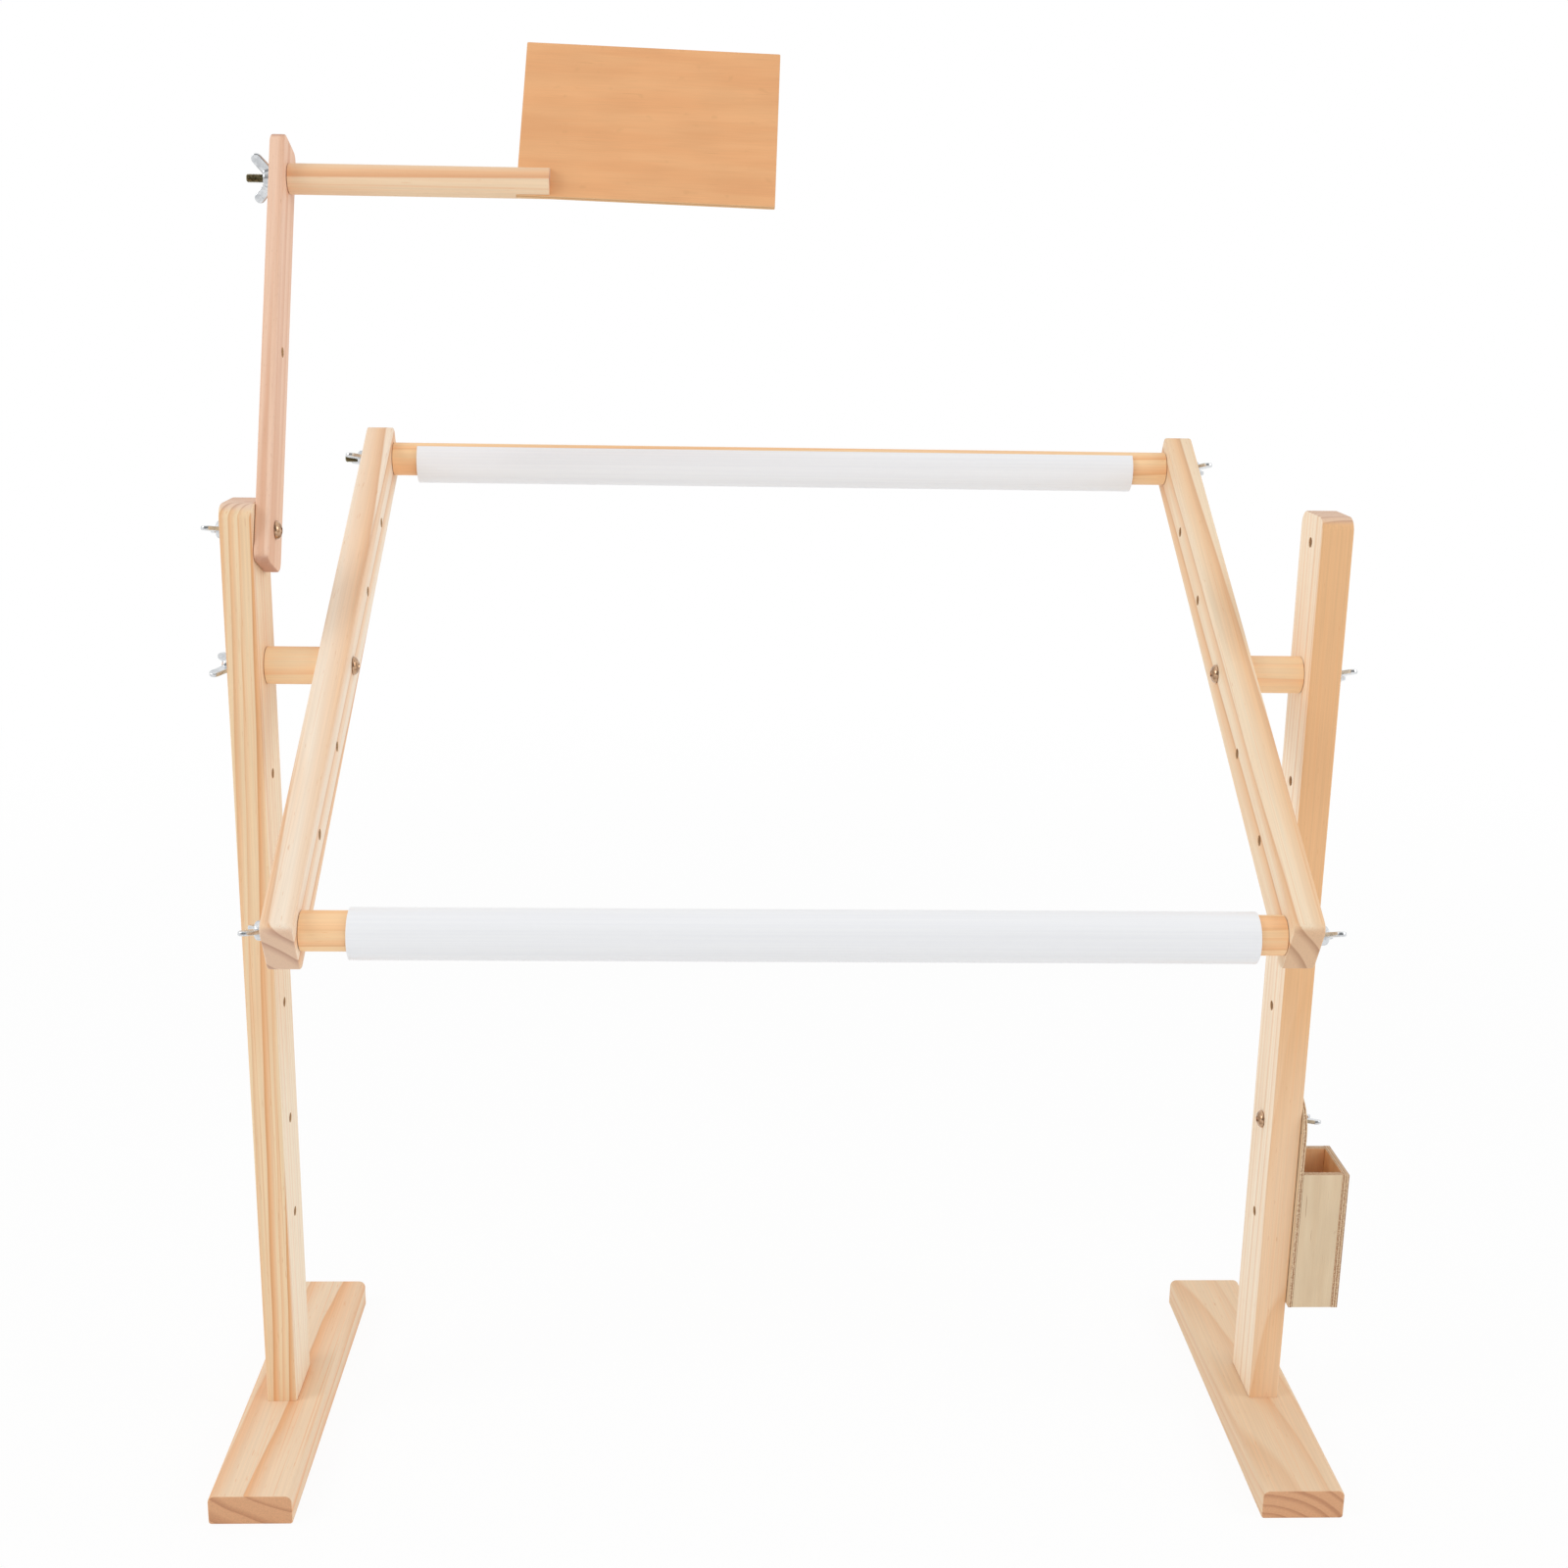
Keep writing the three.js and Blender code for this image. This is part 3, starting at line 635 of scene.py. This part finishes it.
def make_rail(node, front_end, material):
    """A side rail, its middle hole on the pivot bolt and its end holes on the rods' studs."""
    slope = pivots["rear_roller_turn"] - pivots["front_roller_turn"]
    pitch = slope.length / MM / (2 * RAIL_HOLES_EACH_SIDE)
    reach = pitch * RAIL_HOLES_EACH_SIDE
    half = RAIL_DEPTH / 2
    outline = rounded_outline(-half, -reach - front_end, half, reach + RAIL_END, (RAIL_CORNER,) * 4)
    steps = range(-RAIL_HOLES_EACH_SIDE, RAIL_HOLES_EACH_SIDE + 1)
    thickness, _, _ = size_of(node)
    mesh = plank(outline, thickness, [(0, step * pitch) for step in steps], material)
    origin = Vector((middle(node).x, *pivots["frame_tilt"].yz))
    dress(mesh, node, "pine", material, placed(origin, slope, X_AXIS))


def make_arm(node, material):
    """The pattern arm, its end holes on its own bolt and on the holder's stud."""
    reach = pivots["holder_turn"] - pivots["arm_lean"]
    pitch = reach.length / MM / (ARM_HOLES - 1)
    half = ARM_WIDTH / 2
    outline = rounded_outline(-half, -ARM_END, half, reach.length / MM + ARM_END, (ARM_CORNER,) * 4)
    thickness, _, _ = size_of(node)
    mesh = plank(outline, thickness, [(0, step * pitch) for step in range(ARM_HOLES)], material)
    dress(mesh, node, "beech", material, placed(pivots["arm_lean"], reach, X_AXIS))


def dowel_rings(radius, length, near_bore, far_bore):
    """Half profile of a dowel from z = 0, drilled that deep from each end, or right through."""
    rounding = [math.radians(90 * step / DOWEL_EDGE_STEPS) for step in range(DOWEL_EDGE_STEPS + 1)]
    lower = [(radius - DOWEL_EDGE * (1 - math.sin(a)), DOWEL_EDGE * (1 - math.cos(a))) for a in rounding]
    upper = [(reach, length - height) for reach, height in reversed(lower)]
    if near_bore + far_bore > length:
        return [(HOLE_RADIUS, 0), *lower, *upper, (HOLE_RADIUS, length)]
    near, far = [(0, 0)], [(0, length)]
    if near_bore:
        near = [(0, near_bore), (HOLE_RADIUS, near_bore), (HOLE_RADIUS, 0)]
    if far_bore:
        far = [(HOLE_RADIUS, length), (HOLE_RADIUS, length - far_bore), (0, length - far_bore)]
    return [*near, *lower, *upper, *far]


def make_dowel(node, radius, bore, material):
    """A dowel along X, drilled that deep from both ends."""
    low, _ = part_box(node)
    length, _, _ = size_of(node)
    mesh = turned(dowel_rings(radius, length, bore, bore))
    dress(mesh, node, "dowel", material, placed(Vector((low.x, *middle(node).yz)), X_AXIS, Z_AXIS))


def holder_axes():
    """Upwards and frontwards in the plane of the pattern board."""
    tilt = math.radians(BOARD_TILT)
    return Vector((0, math.sin(tilt), math.cos(tilt))), Vector((0, -math.cos(tilt), math.sin(tilt)))


def make_holder(node, material):
    """The dowel on the arm: a stud in its left end, and a slot for the board in its right end."""
    low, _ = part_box(node)
    up, _ = holder_axes()
    length, _, _ = size_of(node)
    mesh = turned(dowel_rings(HOLDER_RADIUS, length, STUD_DEPTH, 0))
    mesh.materials.append(material)
    section = (3 * HOLDER_RADIUS, SLOT_WIDTH)
    slot = boxed(section, section, length - SLOT_DEPTH, length + CUT_PAST)
    slot.materials.append(material)
    mesh = combined(mesh, slot, "DIFFERENCE")
    origin = Vector((low.x, *pivots["holder_turn"].yz))
    dress(mesh, node, "dowel", material, placed(origin, X_AXIS, up))


def make_board(node, material):
    """The board, its lower left corner in the slot of the holder dowel and drooping a little from it."""
    _, dowel_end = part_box("holder_dowel")
    up, front = holder_axes()
    droop = math.radians(BOARD_DROOP)
    along = math.cos(droop) * X_AXIS - math.sin(droop) * up
    outline = rounded_outline(HOLDER_RADIUS - BOARD_HEIGHT, 0, HOLDER_RADIUS, BOARD_WIDTH,
                              (BOARD_CORNER,) * 4)
    mesh = plank(outline, BOARD_THICKNESS, [], material, PLY_EDGE)
    origin = Vector((dowel_end.x - BOARD_INSET * MM, *pivots["holder_turn"].yz))
    dress(mesh, node, "ply", material, placed(origin, along, front))


def make_box_panel(node, thick, along, material, rounded=0, holes=()):
    """A tool box panel, with the axes that its thickness and its grain run along.

    Rounded is the radius of its top corners, and holes are (y, z) spots from its middle.
    """
    size = Vector(size_of(node))
    depth = abs(size.dot(thick))
    length = abs(size.dot(along))
    width = abs(size.dot(along.cross(thick)))
    outline = rounded_outline(-width / 2, -length / 2, width / 2, length / 2, (0, 0, rounded, rounded))
    mesh = plank(outline, depth, holes, material, PLY_EDGE)
    dress(mesh, node, "ply", material, placed(middle(node), along, thick))


# Cloth channels
def channel_outline():
    """Section of a pipe with a mouth towards +X, its two lips rounded."""
    half = CHANNEL_MOUTH / 2
    outer = CHANNEL_INNER + CHANNEL_WALL
    lip = CHANNEL_WALL / 2
    arcs = [(0, 0, outer, half, 360 - half, CHANNEL_STEPS),
            (CHANNEL_INNER + lip, -half, lip, -half, -half - 180, LIP_STEPS),
            (0, 0, CHANNEL_INNER, 360 - half, half, CHANNEL_STEPS),
            (CHANNEL_INNER + lip, half, lip, half - 180, half - 360, LIP_STEPS)]
    points = []
    for distance, heading, radius, start, end, steps in arcs:
        cx = distance * math.cos(math.radians(heading))
        cy = distance * math.sin(math.radians(heading))
        for step in range(1 if distance else 0, steps if distance else steps + 1):
            angle = math.radians(start + (end - start) * step / steps)
            points.append((cx + radius * math.cos(angle), cy + radius * math.sin(angle)))
    return points


def make_channel(node, mouth_turn, centre, material):
    """A channel along X, its mouth turned so many degrees up from straight back."""
    length, _, _ = size_of(node)
    mesh = extruded(channel_outline(), length, CHANNEL_CUT_EDGE)
    mouth = Matrix.Rotation(math.radians(mouth_turn), 3, "X") @ Y_AXIS
    origin = Vector((middle(node).x, *centre))
    dress(mesh, node, "pvc", material, placed(origin, X_AXIS, mouth), sharp=40)


def channel_centres():
    """The middles of the two channels: the front one hangs by its top, the rear one grips the rod."""
    front = pivots["front_roller_turn"] - (CHANNEL_INNER - ROD_RADIUS - SEAT_GAP) * MM * Z_AXIS
    half = math.radians(CHANNEL_MOUTH / 2)
    clear = ROD_RADIUS + SEAT_GAP
    rise = math.sqrt(clear ** 2 - (CHANNEL_INNER * math.sin(half)) ** 2)
    mouth = Matrix.Rotation(math.radians(REAR_MOUTH_TURN), 3, "X") @ Y_AXIS
    rear = pivots["rear_roller_turn"] + mouth * (rise - CHANNEL_INNER * math.cos(half) + REAR_LIFT) * MM
    return front.yz, rear.yz


# Fasteners
def thread_rings(start, end, radius=SHANK_RADIUS, pitch=THREAD_PITCH, depth=THREAD_DEPTH):
    """Rings of a threaded stretch that runs out at its start and is chamfered at its end."""
    rows = int((end - start) / pitch * THREAD_ROWS)
    rings = []
    for row in range(rows + 1):
        height = start + (end - start) * row / rows
        fade = min(1.0, (height - start) / pitch)
        tip = max(0.0, height - (end - TIP_CHAMFER))
        rings.append((radius - tip, height, max(0.0, depth * fade - tip)))
    return rings


def cross_recessed(mesh, mouth, floor, height, depth, turns):
    """Mesh with a slot for each turn, in degrees, cut up into its head from that height."""
    for turn in turns:
        recess = boxed(mouth, floor, height - RECESS_PAST, height + depth)
        recess.transform(Matrix.Rotation(math.radians(turn), 4, "Z"))
        mesh = combined(mesh, recess, "DIFFERENCE")
    return mesh


def bolt_mesh(length):
    """Pan head bolt along Z, its head below z = 0."""
    dome = [math.radians(90 * step / DOME_STEPS) for step in range(DOME_STEPS)]
    rings = [(HEAD_RADIUS * math.sin(a), -HEAD_HEIGHT * math.cos(a)) for a in dome]
    rings += [(HEAD_RADIUS, -HEAD_EDGE_HEIGHT), (HEAD_RADIUS - HEAD_EDGE_WIDTH, 0), (SHANK_RADIUS, 0)]
    if length > THREAD_LENGTH + 2 * THREAD_PITCH:
        rings += [(SHANK_RADIUS, length - THREAD_LENGTH - THREAD_PITCH)]
    rings += thread_rings(max(THREAD_PITCH, length - THREAD_LENGTH), length) + [(0, length)]
    mesh = turned(rings, BOLT_SIDES)
    return cross_recessed(mesh, RECESS_MOUTH, RECESS_FLOOR, -HEAD_HEIGHT, RECESS_DEPTH, (0, 90))


def make_bolt(node, seat_x, material, turn):
    """A bolt whose head seats at that x, in metres, its cross turned by so many degrees."""
    low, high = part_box(node)
    side = 1 if abs(high.x) > abs(low.x) else -1
    tip = high.x if side > 0 else low.x
    across = Matrix.Rotation(math.radians(turn), 3, "X") @ Y_AXIS
    mesh = bolt_mesh(abs(tip - seat_x) / MM)
    origin = Vector((seat_x, *middle(node).yz))
    dress(mesh, node, "steel", material, placed(origin, side * X_AXIS, across), sharp=30)


def make_stud(node, material):
    """A stud from its buried end outwards, threaded at its outer end."""
    low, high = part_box(node)
    side = side_of(node)
    length, _, _ = size_of(node)
    start = low.x if side > 0 else high.x
    rings = [(0, 0), (SHANK_RADIUS - STUD_CHAMFER, 0), (SHANK_RADIUS, STUD_CHAMFER),
             (SHANK_RADIUS, length - THREAD_LENGTH - THREAD_PITCH)]
    mesh = turned(rings + thread_rings(length - THREAD_LENGTH, length) + [(0, length)], BOLT_SIDES)
    origin = Vector((start, *middle(node).yz))
    dress(mesh, node, "steel", material, placed(origin, side * X_AXIS, Y_AXIS), sharp=30)


def wing_nut_mesh():
    """Cast wing nut about Z, its wings towards +X and -X, the edges run together as in a casting."""
    mesh = turned([(NUT_BORE, 0), *NUT_BOSS, (NUT_BORE, NUT_HEIGHT)], NUT_SIDES)
    tip = WING_WIDTH / 2
    end = Vector((WING_SPAN / 2 - tip, WING_REACH - tip))
    slant = math.atan2(end.y - WING_ROOT.y, end.x - WING_ROOT.x)
    off_x, off_y = tip * math.sin(slant), tip * math.cos(slant)
    arc = [slant + math.radians(180 * step / WING_TIP_STEPS - 90) for step in range(WING_TIP_STEPS + 1)]
    outline = [(WING_ROOT.x + off_x, WING_ROOT.y - off_y)]
    outline += [(end.x + tip * math.cos(a), end.y + tip * math.sin(a)) for a in arc]
    outline += [(WING_ROOT.x - off_x, WING_ROOT.y + off_y)]
    for turn in (0, 180):
        wing = extruded(outline, WING_THICKNESS, WING_EDGE)
        wing.transform(Matrix.Rotation(math.pi / 2, 4, "X"))
        wing.transform(Matrix.Rotation(math.radians(turn), 4, "Z"))
        mesh = combined(mesh, wing, "UNION")
    bore = turned([(0, -CUT_PAST), (NUT_BORE, -CUT_PAST), (NUT_BORE, NUT_BORE_TOP), (0, NUT_BORE_TOP)],
                  NUT_SIDES)
    mesh = combined(mesh, bore, "DIFFERENCE")
    maker = temporary(mesh)
    cast = maker.modifiers.new("cast", "REMESH")
    cast.mode = "VOXEL"
    cast.voxel_size = CAST_GRAIN * MM
    smooth = maker.modifiers.new("smooth", "SMOOTH")
    smooth.iterations = CAST_SMOOTHINGS
    thin = maker.modifiers.new("thin", "DECIMATE")
    thin.ratio = CAST_FACES_KEPT
    return built_mesh(maker)


def make_wing_nut(node, joint, template, material):
    """Seats a wing nut where its joint is, its wings turned as the CAD nut's are."""
    seat = pivots[joint]
    far = max((v.co for v in nodes[node].data.vertices), key=lambda co: (co - seat).yz.length)
    across = Vector((0, *(far - seat).yz))
    matrix = placed(seat, side_of(node) * X_AXIS, across)
    dress(template.copy(), node, "zinc", material, matrix, sharp=60)


def make_foot_screw(node, material):
    """A countersunk screw from under the foot, its head down."""
    low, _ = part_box(node)
    _, _, length = size_of(node)
    rings = [(0, 0), (SCREW_HEAD_RADIUS - SCREW_HEAD_EDGE, 0), (SCREW_HEAD_RADIUS, SCREW_HEAD_EDGE),
             (SCREW_RADIUS, SCREW_HEAD_HEIGHT), (SCREW_RADIUS, SCREW_SHANK_END)]
    rings += thread_rings(SCREW_THREAD_START, length - SCREW_POINT, SCREW_RADIUS, SCREW_PITCH,
                          SCREW_THREAD_DEPTH)
    mesh = turned(rings + [(0, length)], SCREW_SIDES, SCREW_PITCH)
    mesh = cross_recessed(mesh, SCREW_RECESS_MOUTH, SCREW_RECESS_FLOOR, 0, SCREW_RECESS_DEPTH, (45, 135))
    origin = Vector((*middle(node).xy, low.z))
    dress(mesh, node, "zinc", material, placed(origin, Z_AXIS, X_AXIS), sharp=30)


# The pieces, each with its own wood; the pith says how far the tree's heart lies from it
DRILLED = drilled_pine()
FOOT_ENDS = {"sawn": ("dba67c", "bd8560"), "speckle": 0.12}
make_foot("foot_left",
          pine("pine, left foot", seed=1, pith=(64, -140), ring=12, light="f3d7b7", band="eeb07a",
               line="e6a46c", taper=0.03, sway=5, wander=1.2, contrast=1.3, **FOOT_ENDS))
make_foot("foot_right",
          pine("pine, right foot", seed=2, pith=(-30, 70), ring=8, light="edcfac", band="e3b489",
               taper=0.04, sway=5, contrast=0.5, **FOOT_ENDS))
# The left post's inner face gets painted light, a paler cream that is stronger near the foot; the right
# post's front face gets painted shade, a deeper orange that grows towards the top
make_post("post_left",
          pine("pine, left post", seed=3, pith=(85, -85), ring=5.5, light="f4d7b0", band="edb582",
               sawn=("eccdb4", "c59c82"), painted_face_shading=("X", 1, "fff4df", 0.62, 0.35), sway=3, contrast=1.2))
make_post("post_right",
          pine("pine, right post", seed=4, pith=(10, -135), ring=7, light="ffedd4",
               painted_face_shading=("Y", -1, "eab57e", 0.56, 0.9), sway=2, contrast=0.5))
make_rail("side_rail_left", RAIL_END,
          pine("pine, left rail", seed=5, pith=(-70, 75), ring=14, light="f9e7d1", band="f4c79b", sway=2,
               contrast=0.9))
make_rail("side_rail_right", RIGHT_RAIL_FRONT_END,
          pine("pine, right rail", seed=6, pith=(-90, 60), ring=14, sawn=("e4bd98", "b98b6a"), sway=2,
               contrast=0.9))

SPACER = {"ring": 11, "light": "ffdfb4", "band": "ffcb98", "line": "f6bb86", "contrast": 0.6}
ROD = {"ring": 10, "light": "ffd8a8", "band": "fdc18b", "line": "e8a56a", "sawn": ("e2b78e", "bb8861"),
       "contrast": 0.8}
make_dowel("spacer_left", SPACER_RADIUS, THROUGH,
           pine("pine dowel, left spacer", seed=7, pith=(30, 40), **SPACER))
make_dowel("spacer_right", SPACER_RADIUS, THROUGH,
           pine("pine dowel, right spacer", seed=8, pith=(-40, 30), **SPACER))
make_dowel("front_rod", ROD_RADIUS, STUD_DEPTH,
           pine("pine dowel, front rod", seed=9, pith=(50, 30), **ROD))
make_dowel("rear_rod", ROD_RADIUS, STUD_DEPTH,
           pine("pine dowel, rear rod", seed=10, pith=(40, -40), **ROD))
make_holder("holder_dowel",
            pine("pine dowel, holder", seed=11, pith=(60, 0), ring=22, light="f4d7b4", band="f0bd8f",
                 line="e6ab7d", taper=0.01, sway=0.8, wander=0))
make_arm("pattern_arm", planed_beech())
make_board("pattern_board",
           plywood("birch plywood, pattern board", seed=13, face=("edb27c", "e9aa74"),
                   edge=("ebc594", "cf9763"), layer=2.6, flame=(34, 12, 90)))

BOX_PLY = {"face": ("e3cdac", "dcc3a1"), "edge": ("e4caa6", "9c6c49"), "layer": 1.8, "flame": (18, 9, 90),
           "torn_scale": 1.1, "ragged": 1.5}
box_ply = plywood("poplar plywood, tool box", seed=14, **BOX_PLY)
# The panels that face into the box take the second, more orange tone on their inside faces
box_toned_inside = plywood("poplar plywood, orange-toned inside", seed=15, inside=("fbcb9a", "efb987"), **BOX_PLY)
box_hole = (pivots["tool_box_swing"].z - middle("box_back_plate").z) / MM
make_box_panel("box_back_plate", X_AXIS, Z_AXIS, box_ply, rounded=PLATE_ROUND, holes=[(0, box_hole)])
make_box_panel("box_side", X_AXIS, Z_AXIS, box_toned_inside)
make_box_panel("box_front", -Y_AXIS, Z_AXIS, box_toned_inside)
make_box_panel("box_rear", Y_AXIS, Z_AXIS, box_toned_inside)
make_box_panel("box_bottom", -Z_AXIS, Y_AXIS, box_toned_inside)

pvc = white_pvc()
front_centre, rear_centre = channel_centres()
make_channel("front_clip", FRONT_MOUTH_TURN, front_centre, pvc)
make_channel("rear_clip", REAR_MOUTH_TURN, rear_centre, pvc)

bright_zinc = plated_steel("zinc-plated steel", 15, light="dfe1e3", dark="c6c9cc", roughness=0.24)
yellow_zinc = plated_steel("yellow zinc-plated steel", 16, light="cda98a", dark="96765a", roughness=0.22)
olive_zinc = plated_steel("olive zinc-plated steel", 17, light="958d70", dark="6b644a", roughness=0.34)
for hand, side in (("left", -1), ("right", 1)):
    low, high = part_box(f"side_rail_{hand}")
    inner_face = high.x if side < 0 else low.x
    make_bolt(f"pivot_bolt_{hand}", inner_face - side * SEAT_GAP * MM, yellow_zinc, turn=20 * side)
    for word in ("front", "rear"):
        make_stud(f"{word}_stud_{hand}", olive_zinc)
make_bolt("arm_bolt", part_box("pattern_arm")[1].x + SEAT_GAP * MM, yellow_zinc, turn=50)
make_bolt("box_bolt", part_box("post_right")[0].x - SEAT_GAP * MM, yellow_zinc, turn=10)
make_stud("holder_stud", olive_zinc)

wing_nut = wing_nut_mesh()
for word in ("pivot", "front", "rear"):
    for hand in ("left", "right"):
        make_wing_nut(f"{word}_wing_nut_{hand}", f"{word}_nut_{hand}_turn", wing_nut, bright_zinc)
for word in ("arm", "holder", "box"):
    make_wing_nut(f"{word}_wing_nut", f"{word}_nut_turn", wing_nut, bright_zinc)
for hand in ("left", "right"):
    for spot in ("front", "rear"):
        make_foot_screw(f"foot_screw_{hand}_{spot}", bright_zinc)


# Studio: white surroundings, a pale floor that keeps a soft shadow, and two large soft lamps
def background_rays(put):
    """The light path, and 1 for rays that show the background: the camera's own, and those in glass."""
    path = put("LightPath").node.outputs
    return path, put("Math", path["Is Camera Ray"], path["Is Transmission Ray"], operation="MAXIMUM")


def make_surroundings():
    world = bpy.data.worlds.new("studio")
    bpy.context.scene.world = world
    world.use_nodes = True
    world.node_tree.nodes.clear()
    put = partial(add, world.node_tree)
    path, seen = background_rays(put)
    # Metal shows the white room too, but the side that the lamps stand on is dim between them
    way = put("SeparateXYZ", put("TexCoord")).node.outputs
    dim = put("MapRange", way["Y"], -0.25, -0.8, 1.0, DIM_SIDE, **SOFT)
    strength = put("Mix", path["Is Glossy Ray"], WORLD_LIGHT, dim)
    strength = put("Mix", seen, strength, 1.0)
    put("OutputWorld", put("Background", linear("ffffff"), strength))


def make_floor():
    material, put = new_material("pale floor")
    path, seen = background_rays(put)
    exact = put("VectorMath", put("TexCoord").node.outputs["Object"], 1 / MM, operation="SCALE")
    grain = put("TexNoise", put("VectorMath", exact, FLOOR_MOTTLE, **SIZED), 1.0)
    paper = put("BsdfDiffuse", put("Mix", grain, linear("f7f7f6"), linear("fafafa"), **COLOUR))
    glow = put("Emission", linear("ffffff"), 1.0)
    seen = put("Math", seen, path["Is Glossy Ray"], operation="MAXIMUM")
    # The glow grows to plain white far from the object, so that no edge shows against the white world
    distance = put("VectorMath", exact, operation="LENGTH")
    glow_share = put("MapRange", distance, *FLOOR_FADE, FLOOR_GLOW, 1.0, **SOFT)
    share = put("Math", seen, glow_share, operation="MULTIPLY")
    put("OutputMaterial", put("MixShader", share, paper, glow))
    mesh = bpy.data.meshes.new("floor")
    half = FLOOR_SIZE / 2
    mesh.from_pydata([(-half, -half, 0), (half, -half, 0), (half, half, 0), (-half, half, 0)], [],
                     [(0, 1, 2, 3)])
    mesh.materials.append(material)
    floor = bpy.data.objects.new("floor", mesh)
    bpy.context.scene.collection.objects.link(floor)


def make_lamps():
    for name, place, size, power in LAMPS:
        light = bpy.data.lights.new(name, "AREA")
        light.shape = "DISK"
        light.size = size
        light.energy = power
        lamp = bpy.data.objects.new(name, light)
        lamp.location = place
        lamp.rotation_euler = (LAMP_AIM - Vector(place)).to_track_quat("-Z", "Y").to_euler()
        bpy.context.scene.collection.objects.link(lamp)


def make_camera():
    """The photograph's camera, placed from the point on the floor midway between the posts."""
    yaw, pitch, roll = (math.radians(a) for a in (CAMERA_YAW, CAMERA_PITCH, CAMERA_ROLL))
    forward = Vector((math.sin(yaw) * math.cos(pitch), math.cos(yaw) * math.cos(pitch), math.sin(pitch)))
    level = Vector((math.cos(yaw), -math.sin(yaw), 0))
    right = math.cos(roll) * level + math.sin(roll) * level.cross(forward)
    data = bpy.data.cameras.new("camera")
    data.sensor_width = SENSOR
    data.lens = FOCAL_PIXELS / PHOTO_WIDTH * SENSOR
    data.clip_start, data.clip_end = CAMERA_CLIP
    camera = bpy.data.objects.new("camera", data)
    between_posts = Vector(((middle("post_left").x + middle("post_right").x) / 2, 0, 0))
    camera.matrix_world = placed(between_posts + CAMERA_PLACE, -forward, right)
    bpy.context.scene.collection.objects.link(camera)
    bpy.context.scene.camera = camera


make_surroundings()
make_floor()
make_lamps()
make_camera()
bpy.context.scene.view_settings.view_transform = "Standard"
